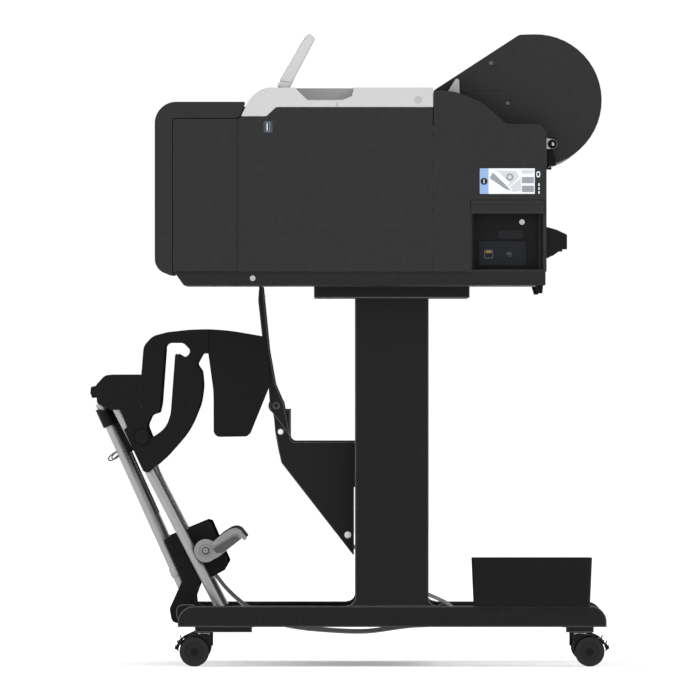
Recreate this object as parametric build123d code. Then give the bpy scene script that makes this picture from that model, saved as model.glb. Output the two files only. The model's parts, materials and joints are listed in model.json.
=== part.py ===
from build123d import *
import os
from math import radians, sin, cos, tan

# Large format roll plotter on a castered stand with a folding cloth stacker.
# Millimetres. +Z up, -Y is the front, +X is the machine's right-hand side.
# The origin is on the floor, under the centre of the whole machine.

# ---------------------------------------------------------------- driving dimensions
HALF = 644.5            # half the width of the printer body
BAY = 465.0             # inner wall of the ink bays and of the top caps
FRAME = (600.5, 603.0)  # steel side frame, inner and outer face
COVER = 603.5           # inner edge of the outer side covers
WALL = 3.0              # plastic wall

BASE_Z = (638.0, 661.0)     # base chassis, bottom and top
SEAM_Y = 139.9              # vertical seam between main and rear side covers
REAR_Y = 329.3              # rear face of the side covers
FRONT_Y = -187.6            # front edge of the main side covers
BAY_FRONT_Y = -325.5        # front face of the ink doors
DOOR_SEAM_Y = -295.6        # vertical seam behind the ink doors
DOOR_SEAM_Z = 917.0         # horizontal seam below the door tops

FOOT_X = 500.0          # centre of each leg
FOOT_WIDTH = 64.0
FOOT_Z = (66.2, 101.3)
FOOT_Y = (-287.6, 430.6)
COLUMN_WIDTH = 56.0
COLUMN_Y = (9.2, 132.5)
COLUMN_TOP = 617.3
BRACKET_TOP = 637.4

TOP_HINGE = (114.7, 947.7)      # top cover pivot
ROLL_CENTRE = (311.2, 947.5)    # roll axis, also the centre of the round roll cover
ROLL_HINGE = (339.2, 874.2)     # roll cover pivot
ROLL_COVER_R = 110.5
PANEL_HINGE = (-116.0, 961.5)   # operation panel pivot
DOOR_HINGE = (-299.2, 659.5)    # ink door pivot
DOOR_BARREL_R = 3.0             # round lower edge of the ink door, about its pivot
DOOR_PIN_R = 1.5
LEVER_HINGE = (171.0, 935.0)    # media release lever pivot
FEED = (75.0, 872.0, 15.0)      # feed roller axis and radius
PINCH_R = 7.0
PINCH_Z = FEED[1] + FEED[2] + 0.3 + PINCH_R

STACKER_HINGE = (-279.4, 92.1)  # stacker pivot on the feet
LOCK_HINGE = (-241.0, 193.5)    # lock lever pivot
REAR_TUBE = ((-394.2, 443.2), (-214.0, 94.4))
FRONT_TUBE = ((-418.0, 441.0), (-277.9, 129.8))
TUBE_R = 9.0
CLOTH_ROD = (-348.4, 384.7)     # rod behind the arm knobs that holds the cloth
LOW_ROD = (-232.0, 150.0)       # rod that holds the cloth between the lower brackets
CLOTH_HALF = 420.0
CLOTH_T = 2.0

STEM_Y = {"front": -243.7, "rear": 386.0}
WHEEL_R = 25.0
WHEEL_OFFSET = 16.2
AXLE_R = 3.94
AXLE_BORE = 4.0

NODES = {}


# ---------------------------------------------------------------- helpers
def corner_arc(before, here, after, radius):
    """Tangent arc at a corner: its start, middle and end points."""
    u = (before - here).normalized()
    v = (after - here).normalized()
    half = radians(u.get_angle(v)) / 2
    cut = radius / tan(half)
    bisector = (u + v).normalized()
    centre = here + bisector * (radius / sin(half))
    return here + u * cut, centre - bisector * radius, here + v * cut


def outline(points):
    """Face in the local XY plane; a corner given as (a, b, radius) is rounded."""
    count = len(points)
    places = [Vector(p[0], p[1]) for p in points]
    corners = []
    for i, point in enumerate(points):
        if len(point) == 3 and point[2] > 0:
            arc = corner_arc(places[i - 1], places[i], places[(i + 1) % count], point[2])
            corners.append(arc)
        else:
            corners.append((places[i], None, places[i]))
    edges = []
    for i, (start, middle, end) in enumerate(corners):
        if middle is not None:
            edges.append(Edge.make_three_point_arc(start, middle, end))
        next_start = corners[(i + 1) % count][0]
        if (next_start - end).length > 1e-5:
            edges.append(Edge.make_line(end, next_start))
    return Face(Wire(edges))


def slab(points, x0, x1):
    """Side outline of (y, z) or (y, z, radius) corners, extruded from x0 to x1."""
    face = Plane.YZ.offset(x0) * outline(points)
    return extrude(face, amount=x1 - x0, dir=(1, 0, 0))


def disc(y, z, radius, x0, x1):
    """Round bar along X."""
    low, high = min(x0, x1), max(x0, x1)
    place = Plane(origin=(low, y, z), x_dir=(0, 1, 0), z_dir=(1, 0, 0))
    return place * Cylinder(radius, high - low, align=(Align.CENTER, Align.CENTER, Align.MIN))


def post(x, y, z0, z1, radius):
    """Upright round bar."""
    place = Location((x, y, z0))
    return place * Cylinder(radius, z1 - z0, align=(Align.CENTER, Align.CENTER, Align.MIN))


def block(x0, x1, y0, y1, z0, z1):
    """Box between two corners."""
    place = Location(((x0 + x1) / 2, (y0 + y1) / 2, (z0 + z1) / 2))
    return place * Box(x1 - x0, y1 - y0, z1 - z0)


def tube(start, end, x, radius, wall=0.0):
    """Straight bar or pipe in a side plane, from (y, z) to (y, z)."""
    a, b = Vector(x, *start), Vector(x, *end)
    place = Plane(origin=a, z_dir=b - a)
    align = (Align.CENTER, Align.CENTER, Align.MIN)
    bar = place * Cylinder(radius, (b - a).length, align=align)
    if wall:
        bar = bar - place * Cylinder(radius - wall, (b - a).length, align=align)
    return bar


def strip(path, thickness):
    """Outline of a bent sheet: path of (y, z) or (y, z, radius), thickened to its left."""
    places = [Vector(p[0], p[1]) for p in path]
    sides = []
    for i, here in enumerate(places):
        forward = (places[i + 1] - here).normalized() if i < len(places) - 1 else None
        backward = (here - places[i - 1]).normalized() if i > 0 else None
        if forward is None or backward is None:
            along = forward if forward is not None else backward
            sides.append((here.X - along.Y * thickness, here.Y + along.X * thickness, 0))
            continue
        turn = backward.X * forward.Y - backward.Y * forward.X
        normal_a = Vector(-backward.Y, backward.X)
        normal_b = Vector(-forward.Y, forward.X)
        mitre = (normal_a + normal_b).normalized()
        reach = thickness / mitre.dot(normal_a)
        radius = path[i][2] if len(path[i]) == 3 else 0
        if radius:
            radius = radius - thickness if turn > 0 else radius + thickness
        sides.append((here.X + mitre.X * reach, here.Y + mitre.Y * reach, max(radius, 0)))
    return list(path) + sides[::-1]


def arc_points(centre, radius, start, end, count):
    """Points on an arc, angles in degrees from +Y towards +Z."""
    step = (end - start) / (count - 1)
    angles = [radians(start + step * i) for i in range(count)]
    return [(centre[0] + radius * cos(a), centre[1] + radius * sin(a)) for a in angles]


def grow(points, amount, x0, x1):
    """Slab of an outline offset by amount, sharp corners kept."""
    face = offset(outline(points), amount, kind=Kind.INTERSECTION)
    return extrude(Plane.YZ.offset(x0) * face, amount=x1 - x0, dir=(1, 0, 0))


def both(part):
    """A right-hand piece and its mirror image."""
    return [part, mirror(part, about=Plane.YZ)]


def rim(part, radius):
    """Round the edge around the outermost face on the +X side."""
    face = part.faces().sort_by(Axis.X)[-1]
    return fillet(face.outer_wire().edges(), radius)


def save(name, *parts):
    """Keep one node, as one solid or as a group of separate solids."""
    solids = []
    for part in parts:
        for piece in part if isinstance(part, list) else [part]:
            solids += piece.solids()
    NODES[name] = solids[0] if len(solids) == 1 else Compound(solids)


# ---------------------------------------------------------------- stand
def make_foot():
    """Channel beam with rounded ends, open below."""
    y0, y1 = FOOT_Y
    z0, z1 = FOOT_Z
    half = FOOT_WIDTH / 2
    skin = 3.0
    beam = slab([(y0, z0), (y0, z1, 28), (y1, z1, 27), (y1, z0)], FOOT_X - half, FOOT_X + half)
    beam = rim(beam, 1.5)
    inner = [(y0 + skin, z0 - 1), (y0 + skin, z1 - skin, 25), (y1 - skin, z1 - skin, 24), (y1 - skin, z0 - 1)]
    return beam - slab(inner, FOOT_X - half + skin, FOOT_X + half - skin)


def make_column():
    """Hollow sheet-steel column with a flared weld at the foot."""
    y0, y1 = COLUMN_Y
    z0 = FOOT_Z[1]
    half = COLUMN_WIDTH / 2
    flare = 13.0
    toe = 1.0
    side = [(y0 - flare - toe, z0), (y0 - flare - toe, z0 + toe), (y0, z0 + toe, flare), (y0, COLUMN_TOP),
            (y1, COLUMN_TOP), (y1, z0 + toe, flare), (y1 + flare + toe, z0 + toe), (y1 + flare + toe, z0)]
    shell = slab(side, FOOT_X - half, FOOT_X + half)
    return shell - block(FOOT_X - half + 2, FOOT_X + half - 2, y0 + 2, y1 - 2, z0 - 1, COLUMN_TOP + 1)


def make_column_head():
    """Box bracket that carries the printer on a column."""
    outer = slab([(-59.5, COLUMN_TOP), (-59.5, BRACKET_TOP, 2), (201, BRACKET_TOP, 2), (201, COLUMN_TOP)],
                 FOOT_X - 50, FOOT_X + 50)
    return outer - block(FOOT_X - 47, FOOT_X + 47, -56.5, 198, COLUMN_TOP + 3, BRACKET_TOP - 3)


def make_guide_bracket():
    """Sheet-metal side bracket ahead of a column, with its flange to the column."""
    hinge = (-123.1, 436.7)
    plate = slab([(-128, 430), (-124.8, 392.8), (-119.3, 362.6), (-114.4, 340.9), (5.4, 186.8, 2), (7.5, 186.8),
                  (7.5, 300), (60, 300), (60, 376), (-99.7, 376, 9), (-99.7, 430)], 428, 431)
    plate = plate + disc(*hinge, 13, 428, 431)
    plate = plate + block(431, FOOT_X - COLUMN_WIDTH / 2, 20, 60, 300, 303)
    for hole_y, hole_z, hole_r in ((-115.6, 393.0, 5.0), (-2.7, 219.9, 6.0), (*hinge, 5.2)):
        plate = plate - disc(hole_y, hole_z, hole_r, 427, 432)
    return plate


def make_guide_arm():
    """Thin curved arm from the guide bracket up to the underside of the printer."""
    left = [(-151.6, 637.3), (-153.3, 612.9, 30), (-146.6, 552.9), (-135.5, 465.6), (-133, 427.9)]
    right = [(-99.7, 384.4), (-110.2, 438.5, 6), (-124.6, 472, 20), (-134.8, 529.3), (-145.6, 637.3)]
    arm = slab(left + [(-128.3, 423.9)] + right, 432, 436)
    return arm - disc(-123.1, 436.7, 5.2, 431, 437)


def make_bin():
    """Open tapered accessory bin that stands on the right foot."""
    centre_y = 305.2
    low, high = FOOT_Z[1], 181.7
    outer = loft([Location((498, centre_y, low)) * RectangleRounded(78, 195, 8),
                  Location((498, centre_y, high)) * RectangleRounded(86, 202, 10)])
    inner = loft([Location((498, centre_y, low + 3)) * RectangleRounded(72, 189, 5),
                  Location((498, centre_y, high + 0.01)) * RectangleRounded(80, 196, 7)])
    return outer - inner


save("feet", both(make_foot()))
save("columns", both(make_column()))
save("stand_frame",
     both(make_column_head()),
     block(-472, 472, 45, 95, 540, 600) - block(-473, 473, 47, 93, 542, 598),
     disc(158, 86, 12, -468, 468),
     both(block(478, 522, -258.8, -163.3, 57.2, FOOT_Z[0])),
     both(block(478, 522, 362.6, 408.9, 57.2, FOOT_Z[0])))
save("guide_brackets", both(make_guide_bracket()))
save("guide_arms",
     both(make_guide_arm()),
     disc(-123.1, 436.7, 5.0, -438, 438),
     disc(-115.6, 393.0, 4.8, -436, 436),
     disc(-2.7, 219.9, 5.8, -436, 436),
     disc(-147.4, 621, 2.2, -432, 432))
save("accessory_bin", make_bin())

PIVOT_PLATE = slab([(-290.5, 80, 10), (-290.5, 103.5, 10), (-262, 103.5, 6), (-240, 90), (-240, 72), (-275, 72, 8)],
                   462, FOOT_X - FOOT_WIDTH / 2)
stand_bolts = [both(PIVOT_PLATE + disc(*STACKER_HINGE, 5.0, 399, 462) + disc(*STACKER_HINGE, 8.0, 396, 399))]
for bolt_z in (555, 585):
    place = Plane(origin=(460, 45, bolt_z), z_dir=(0, -1, 0))
    head = place * extrude(RegularPolygon(6, 6), amount=4)
    stand_bolts.append(both(head))
save("stand_fasteners", *stand_bolts)


# ---------------------------------------------------------------- casters
def make_caster(x, stem_y, heading):
    """Housing, wheel pair and brake pedal of one caster; heading is -1 or +1 along Y."""
    def y(distance):
        return stem_y + heading * distance

    axle_y, axle_z = y(WHEEL_OFFSET), WHEEL_R
    hood = slab([(y(-11.2), axle_z + 1), (y(-11.2), 53.5, 3), (y(WHEEL_OFFSET), 53.5, 27), (y(WHEEL_OFFSET + 28.5), 40, 14),
                 (y(WHEEL_OFFSET + 28.5), axle_z + 1)], x - 22, x + 22)
    room = disc(axle_y, axle_z, 26.5, x - 23, x + 23)
    low = block(x - 23, x + 23, axle_y - 26.4, axle_y + 26.4, -5, axle_z + 6)
    web = block(x - 3.5, x + 3.5, axle_y - 40, axle_y + 40, -10, 60)
    housing = hood - ((room + low) - web)
    housing = housing + disc(axle_y, axle_z, 10, x - 3.5, x + 3.5)
    housing = housing + post(x, stem_y, 48, 57.2, 8)
    housing = housing - disc(axle_y, axle_z, AXLE_BORE, x - 4, x + 4)
    notch = block(x - 10, x + 10, min(y(38.5), y(47)), max(y(38.5), y(47)), 20, 44)
    housing = housing - notch

    wheel = disc(axle_y, axle_z, WHEEL_R, x + 4, x + 21)
    wheel = fillet(wheel.edges().filter_by(GeomType.CIRCLE), 2)
    wheel = wheel - (disc(axle_y, axle_z, 16, x + 18.5, x + 22) - disc(axle_y, axle_z, 7, x + 18, x + 22))
    left_wheel = mirror(wheel, about=Plane.YZ.offset(x))
    wheels = wheel + left_wheel + disc(axle_y, axle_z, AXLE_R, x - 5, x + 5)

    barrel_y, barrel_z = y(WHEEL_OFFSET + 30.5), 31.0
    pedal = disc(barrel_y, barrel_z, 2.6, x - 9, x + 9)
    for tip, foot in (((46.2, 43.0), (41.4, 36.8)), ((49.0, 34.8), (43.0, 27.4))):
        sheet = strip([(y(foot[0] + 2), foot[1]), (y(tip[0]), tip[1])], 2.0 * heading)
        pedal = pedal + slab(sheet, x - 9, x + 9)
    pedal = pedal + slab([(y(43.2), 28), (y(43.2), 38), (y(45.2), 38), (y(47.6), 33), (y(46), 28)], x - 9, x + 9)
    return housing, wheels, pedal


for end, stem_y in STEM_Y.items():
    for hand, sign in (("right", 1), ("left", -1)):
        housing, wheels, pedal = make_caster(sign * FOOT_X, stem_y, -1 if end == "front" else 1)
        save(f"caster_housing_{end}_{hand}", housing)
        save(f"caster_wheels_{end}_{hand}", wheels)
        save(f"caster_brake_{end}_{hand}", pedal)


# ---------------------------------------------------------------- printer housing, fixed
BAND_BOTTOM = [(139.9, 935.8), (-122.4, 935.8, 5), (-139.0, 920.4, 4), (-181.4, 920.4, 1.5)]
BAND_NOSE = [(-167.0, 950.0, 45), (-146.0, 968.6, 40)]
BAND = BAND_BOTTOM + BAND_NOSE + [(139.9, 968.6, 1.0)]


def make_base():
    """Shallow sheet-metal tray under the whole printer."""
    z0, z1 = BASE_Z
    side = [(-277, z0, 2), (327.5, z0, 2), (327.5, z1), (-292, z1), (-290.6, 657)]
    tray = slab(side, -(HALF - 3), HALF - 3)
    return tray - block(-(HALF - 6), HALF - 6, -270, 324, z0 + 3, z1 + 1)


def make_side_frame():
    """Steel plate inside each end, with the bearing holes and the roll cover's hinge ear."""
    side = [(-170, BASE_Z[1]), (318, BASE_Z[1]), (318, 866), (339.2, 866.2), (339.2, 882.2), (300, 890),
            (250, 892), (135, 905), (135, 930), (-118, 930), (-170, 905)]
    plate = slab(side, *FRAME) + disc(*ROLL_HINGE, 8, *FRAME)
    holes = ((FEED[0], FEED[1], 6.05), (FEED[0], PINCH_Z, 3.05))
    for hole_y, hole_z, hole_r in holes:
        plate = plate - disc(hole_y, hole_z, hole_r, FRAME[0] - 1, FRAME[1] + 1)
    plate = plate - disc(*ROLL_HINGE, 3.05, FRAME[0] - 1, FRAME[1] + 1)
    return plate


def make_main_cover():
    """Outer side shell between the front and rear seams."""
    side = [(FRONT_Y, BASE_Z[1]), (SEAM_Y - 0.6, BASE_Z[1]), (SEAM_Y - 0.6, 935.2), (-122.6, 935.2, 5),
            (-139.4, 919.8, 4), (FRONT_Y + 6, 919.8), (FRONT_Y, 912)]
    shell = rim(slab(side, COVER, HALF), 1.2)
    return shell - grow(side, -WALL, COVER - 1, HALF - WALL)


def make_rear_cover():
    """Outer side shell behind the seam, with the curved shoulder."""
    shoulder = [(SEAM_Y + 0.6, 964.0, 1.5), (176, 962.0, 60), (222, 943.5, 60), (262.5, 907.6, 8)]
    side = [(SEAM_Y + 0.6, BASE_Z[1])] + shoulder + [(REAR_Y, 907.6, 19), (REAR_Y, BASE_Z[1])]
    shell = rim(slab(side, COVER, HALF), 1.2)
    shell = shell - grow(side, -WALL, COVER - 1, HALF - WALL)
    slot = block(608, 628, 150, 193, 930, 975)
    return shell - slot


def make_connector_recess(shell):
    """Cut the connector bay into the right rear cover and close its back and sides."""
    bay = [(201.2, 640), (201.2, 781.5, 3), (326, 781.5, 2), (326, 640)]
    pocket = slab(bay, HALF - 30, HALF - WALL - 0.01)
    opened = shell - slab(bay, HALF - WALL - 0.5, HALF + 1)
    liner = pocket - block(600, HALF, 140, REAR_Y, 600, BASE_Z[1])
    inner = [(206.5, 640), (206.5, 758.5, 2), (317.1, 758.5, 2), (317.1, 640)]
    liner = liner - slab(inner, HALF - 27, HALF + 1)
    liner = liner - block(HALF - 12, HALF + 1, 204, 324, 640, 758)
    hood = slab([(203.5, 759.5), (203.5, 780, 2), (324.5, 780, 2), (324.5, 759.5)], HALF - 8, HALF - 0.5)
    groove = slab([(203, 772.6), (203, 774.4), (325, 774.4), (325, 772.6)], HALF - 2, HALF + 1)
    return opened + liner + hood - groove


def make_ink_bay():
    """Tower that holds the ink tanks behind the door, with the ears and pins of the door's hinge."""
    front = DOOR_SEAM_Y + 0.6
    side = [(front, BASE_Z[1] + 0.3), (FRONT_Y - 0.6, BASE_Z[1] + 0.3), (FRONT_Y - 0.6, DOOR_SEAM_Z - 0.6),
            (front, DOOR_SEAM_Z - 0.6, 5)]
    tower = rim(slab(side, BAY, HALF), 0.8)
    tower = tower - block(BAY + WALL, HALF - WALL, front - 5, FRONT_Y - WALL, 690, DOOR_SEAM_Z - 4)
    tower = tower - block(BAY + WALL, HALF - WALL, front + WALL, FRONT_Y - 4, BASE_Z[1], 686)
    y, z = DOOR_HINGE
    reach = DOOR_BARREL_R - 0.3
    for x0, pin_end in ((BAY + 10, BAY + 22), (HALF - 14, HALF - 22)):
        ear = disc(y, z, reach, x0, x0 + 4) + block(x0, x0 + 4, y, front + 1, z + 2.0, z + reach + 2)
        ear = ear + block(x0, x0 + 4, y - 1.5, y + 1.5, z, z + reach + 2)
        tower = tower + ear + disc(y, z, DOOR_PIN_R, x0 + 2, pin_end)
    return tower


def make_top_cap():
    """Light grey cap over an ink bay, open below."""
    shell = rim(slab(BAND, BAY, HALF), 1.5)
    shell = shell - grow(BAND, -WALL, BAY + WALL, HALF - WALL) - block(BAY + WALL, HALF - WALL, -136, 137, 915, 940)
    return shell - block(BAY - 1, BAY + WALL + 1, -72, 124, 915, 943)


WELL = [(-131, 975), (-131, 948, 4), (4, 948, 4), (8, 975)]
SCOOP = [(-97.6, 975), (-91.6, 968.4), (-69.8, 947.4, 3), (-12.6, 947.4, 8), (4.2, 954.4), (7.5, 968.4), (7.5, 975)]


def make_panel_well(cap):
    """Sink the operation panel's well into the right cap, open towards the side."""
    liner = slab([(-134, 967), (-134, 945, 5), (9, 945, 5), (11, 967)], 474, HALF - 1)
    cap = cap + (liner & slab(BAND, 470, HALF - 1))
    cap = cap - slab(WELL, 477, 637) - slab(SCOOP, 630, HALF + 1)
    ears = slab([(-124, 948), (-124, 962, 5), (-108, 962, 5), (-108, 948)], 477, 481)
    ears = ears + slab([(-124, 948), (-124, 962, 5), (-108, 962, 5), (-108, 948)], 633, 637)
    return cap + (ears - disc(*PANEL_HINGE, 2.05, 470, 640))


save("base_chassis", make_base())
save("side_frames", both(make_side_frame()))
right_cover = make_main_cover()
save("side_cover_left", mirror(right_cover, about=Plane.YZ))
save("side_cover_right", right_cover - block(HALF - WALL - 1, HALF + 1, -144.6, -127.5, 892.3, 913.2))
rear_right = make_rear_cover()
save("rear_side_covers", mirror(rear_right, about=Plane.YZ), make_connector_recess(rear_right))
save("ink_bays", both(make_ink_bay()))
cap = make_top_cap() - disc(*TOP_HINGE, 4.05, BAY - 1, BAY + 5)
save("top_cap_right", make_panel_well(cap))
save("top_cap_left", mirror(cap, about=Plane.YZ))

FRONT_SHEET = [(-112, 883), (-196, 866, 40), (-250, 838, 45), (-262, 790, 60), (-262, BASE_Z[1] + 0.5)]
save("front_cover", slab(strip(FRONT_SHEET, WALL), -(BAY - 1), BAY - 1))
REAR_SHEET = [(298, BASE_Z[1]), (298, 846, 12), (226, 852, 10), (214, 872)]
save("rear_cover", slab(strip(REAR_SHEET, WALL), -599.5, 599.5))


def make_roll_cradle():
    """Trough under the roll with a post near each end that holds the spindle."""
    trough = arc_points(ROLL_CENTRE, 82, 186, 262, 9)
    cradle = slab(strip([(p[0], p[1], 0) for p in trough], -3), -560, 560)
    for side in (1, -1):
        x0 = side * 566 - 6
        y, z = ROLL_CENTRE
        upright = slab([(y - 26, 847.5), (y - 26, z + 8, 4), (y - 13.05, z + 8), (y - 13.05, z), (y + 13.05, z),
                        (y + 13.05, z + 8), (y + 26, z + 8, 4), (y + 20, 900), (y - 13, 847.5)], x0, x0 + 12)
        upright = upright - disc(y, z, 13.05, x0 - 1, x0 + 13)
        cradle = cradle + upright
    return cradle


PLATEN = block(-460, 460, -108, 56, 866, 886.5) - block(-457, 457, -105, 53, 865, 883)
platen_grooves = [block(-455 + 70 * i, -445 + 70 * i, -100, 30, 885.3, 887) for i in range(14)]
for groove in platen_grooves:
    PLATEN = PLATEN - groove
apron = slab(strip([(96, 880), (140, 880, 20), (214, 925, 20), (222, 945)], 2), -545, 545)
save("platen", PLATEN)
save("roll_cradle", make_roll_cradle(), apron)
RAIL = slab([(62.5, 906), (62.5, 936, 2), (94, 936, 2), (94, 930), (68, 930), (68, 912), (94, 912), (94, 906)],
            -FRAME[0], FRAME[0])
save("carriage_rail", RAIL)

belt_y, pulley_r = 110.0, 8.0
belt_outer = SlotOverall(1170, 2 * pulley_r + 3)
belt_inner = SlotOverall(1167, 2 * pulley_r)
belt = extrude(Location((0, belt_y, 922)) * (belt_outer - belt_inner), amount=6)
drive = [belt]
for side in (1, -1):
    drive.append(post(side * 575.5, belt_y, 920, 930, pulley_r - 0.05))
motor_body = post(-575.5, belt_y, 886, 919.5, 15)
save("carriage_drive", *drive, motor_body)

tanks = []
for x0 in (480, 533, 586):
    tanks.append(block(x0, x0 + 46, -288, -196, 692, 880))
for x0 in (-526, -579):
    tanks.append(block(x0, x0 + 46, -288, -196, 692, 880))
save("ink_tanks", *[fillet(tank.edges().filter_by(Axis.Y), 4) for tank in tanks])
save("maintenance_cartridge", block(480, 590, -170, -20, 670, 760) - block(486, 584, -164, -26, 740, 761))

handle = slab([(REAR_Y, 684.4), (339.2, 687.1, 4), (355, 698.1, 3), (363.5, 698.1, 1.5), (363.5, 722.9, 3),
               (346, 731.1, 6), (REAR_Y, 735.8)], 606, 640)
claw = slab([(311, BASE_Z[0]), (314.9, 624.6, 1), (322.4, 624.6, 1), (323.6, BASE_Z[0])], 600, 626)
save("rear_handles", both(handle - block(611, 635, 326, 357, 703, 719)), both(claw))

port_plate = block(HALF - 3, HALF - 0.5, -144.2, -127.9, 892.7, 912.8)
port_plate = port_plate - block(HALF - 2.5, HALF, -138.6, -133.6, 895.5, 910)
jack_plate = slab([(216.1, 670.8), (216.1, 711.7, 2), (295.0, 711.7, 2), (295.0, 670.8)], HALF - 27, HALF - 24.5)
jack_plate = jack_plate - block(HALF - 26, HALF - 20, 226, 239, 684, 696.5)
jack_plate = jack_plate - disc(267.0, 690, 4.4, HALF - 26, HALF - 20)
cover_plate = slab([(248.2, 716.1, 5), (248.2, 730.6, 5), (290.1, 730.6, 5), (290.1, 716.1, 5)], HALF - 27, HALF - 25.5)
save("connector_panels", port_plate, jack_plate, cover_plate)

screws = []
for screw_y, screw_z, screw_r, seat in ((-161.8, 649.9, 4.6, HALF - 3), (288.3, 743.9, 4.6, HALF - 27),
                                        (288.3, 757.0, 4.2, HALF - 12.2)):
    head = disc(screw_y, screw_z, screw_r, seat, seat + 2.2)
    slot = block(seat + 1.2, seat + 3, screw_y - 0.7, screw_y + 0.7, screw_z - 3, screw_z + 3)
    screws.append(head - slot)
hinge_cap = disc(*TOP_HINGE, 5.8, HALF, HALF + 0.8)
save("housing_screws", both(screws[0]), screws[1], both(hinge_cap))


# ---------------------------------------------------------------- moving covers and controls
def make_operation_panel():
    """Tilted control panel; its barrel turns in the well of the right cap."""
    along = Vector(0.505, 0.863)
    across = Vector(along.Y, -along.X)
    root = Vector(-121.0, 971.5)

    def at(up, back):
        spot = root + along * up + across * back
        return spot.X, spot.Y

    body = [(*at(0, 0), 2), (*at(103.5, 0), 5), (*at(101, 14.6), 3), (*at(2, 18.8), 2)]
    panel = slab(body, 482, 632)
    panel = fillet(panel.faces().sort_by(Axis.X)[-1].outer_wire().edges(), 2)
    neck = slab([at(1, 2), at(-9, 4), at(-9, 13), at(4, 16)], 494, 620)
    panel = panel + neck
    panel = panel + disc(*PANEL_HINGE, 5.0, 494, 620) + disc(*PANEL_HINGE, 2.0, 481.3, 632.7)
    screen = [at(14, -1), at(92, -1), at(92, 1.5), at(14, 1.5)]
    pocket = slab(screen, 492, 594)
    glass = slab([at(14.3, 0.2), at(91.7, 0.2), at(91.7, 1.5), at(14.3, 1.5)], 492.3, 593.7)
    middle = at(80, 0)
    place = Plane(origin=(613, *middle), x_dir=(1, 0, 0), z_dir=(0, -across.X, -across.Y))
    hole = place * Cylinder(6.3, 8)
    button = place * (Location((0, 0, -0.6)) * Cylinder(6.0, 4.0))
    return panel - pocket - hole, glass, button


panel, glass, button = make_operation_panel()
save("operation_panel", panel)
save("panel_screen", glass)
save("power_button", button)

COVER_PROFILE = [(-181.4, 920.4), (-167.0, 950.0, 45), (-146.0, 968.6, 40), (128, 968.6)]
skin = slab(strip(COVER_PROFILE, -WALL), -(BAY - 1.5), BAY - 1.5)
window_gap = block(-392, 392, -98, 62, 960, 975)
ears = [slab([(96, 965.8), (96, 952, 6), (108, 939.5, 8), (121, 939.5, 8), (126, 952, 5), (126, 965.8)], x0, x0 + 10)
        for x0 in (BAY - 12, -BAY + 2)]
top_cover = skin - window_gap + ears[0] + ears[1]
for side in (1, -1):
    top_cover = top_cover + disc(*TOP_HINGE, 4.0, side * (BAY - 2), side * (BAY + 2.5))
save("top_cover", top_cover)
save("top_cover_window", block(-392, 392, -98, 62, 964.2, 967.2))


def make_roll_cover():
    """Round shell over the roll with closed ends, hinged low at the rear."""
    y, z = ROLL_CENTRE
    slope = [(142.0, 964.9), (283.9, 1057.3, 14)]
    around = arc_points(ROLL_CENTRE, ROLL_COVER_R, 92, -76, 25)
    outer = slope + around
    lower = [(*ROLL_HINGE,), (300, 882), (262, 896), (225, 930), (170, 951)]
    solid = slab(outer + lower, -600, 600)
    inner_around = arc_points(ROLL_CENTRE, ROLL_COVER_R - WALL, 92, -88, 25)
    inner = [(100, 933.4), (285, 1053.8)] + inner_around + [(315, 820), (100, 820)]
    shell = solid - slab(inner, -597, 597)
    for side in (1, -1):
        hinge = side * (FRAME[1] + 0.8)
        shell = shell + disc(*ROLL_HINGE, 3.0, side * 598, hinge) + disc(*ROLL_HINGE, 5.0, hinge, hinge + side * 2)
        face = side * 600
        groove_path = [(204.9, 1004), (204.9, 961.1, 2), (256.3, 961.1), (262, 985, 30), (293.8, 1009.7), (293.8, 1057)]
        shell = shell - slab(strip(groove_path, 1.0), min(face, face - side), max(face, face - side))
        shell = shell - disc(264.1, 942.5, 7.6, face - side, face + side)
        shell = shell + disc(264.1, 942.5, 4.2, face - side * 1.1, face - side * 0.2)
    return shell


save("roll_cover", make_roll_cover())


def make_ink_door():
    """L-shaped wrap-round door: front and top plates with side flanges, hinged along its lower edge."""
    back = DOOR_SEAM_Y - 0.6
    low = BASE_Z[1] - 4.5
    side = [(BAY_FRONT_Y, low, 26), (BAY_FRONT_Y, 944.8, 36), (-174.4, 944.8, 1.5), (-182.6, 921.2),
            (FRONT_Y - 0.6, DOOR_SEAM_Z + 0.6), (back, DOOR_SEAM_Z + 0.6, 6), (back, low, DOOR_BARREL_R)]
    door = rim(slab(side, BAY, HALF), 1.2)
    hollow = [(BAY_FRONT_Y + WALL, low + WALL, 23), (BAY_FRONT_Y + WALL, 944.8 - WALL, 33), (-150, 944.8 - WALL),
              (-150, 900), (back + WALL, 900), (back + WALL, low + WALL)]
    door = door - slab(hollow, BAY + WALL, HALF - WALL)
    y, z = DOOR_HINGE
    door = door + disc(y, z, DOOR_BARREL_R, BAY + 1, HALF - 1.5)
    for x0, pin_end in ((BAY + 10, BAY + 22), (HALF - 14, HALF - 22)):
        door = door - block(x0 - 0.5, x0 + 4.5, y - 7, y + 5, low - 1, low + 12)
        door = door - disc(y, z, DOOR_PIN_R + 0.05, x0, pin_end + 0.5 * (1 if pin_end > x0 else -1))
    return door


door = make_ink_door()
save("ink_door_right", door)
save("ink_door_left", mirror(door, about=Plane.YZ))

lever = slab([(165.0, 938), (163.3, 960.3), (178.0, 984.1, 2.5), (183.2, 982, 2.5), (184.0, 958), (178, 938)], 611, 625)
lever = lever + disc(*LEVER_HINGE, 9, 611, 625) + disc(*LEVER_HINGE, 3, FRAME[1] + 0.8, 640.5)
save("release_lever", lever)


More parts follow.
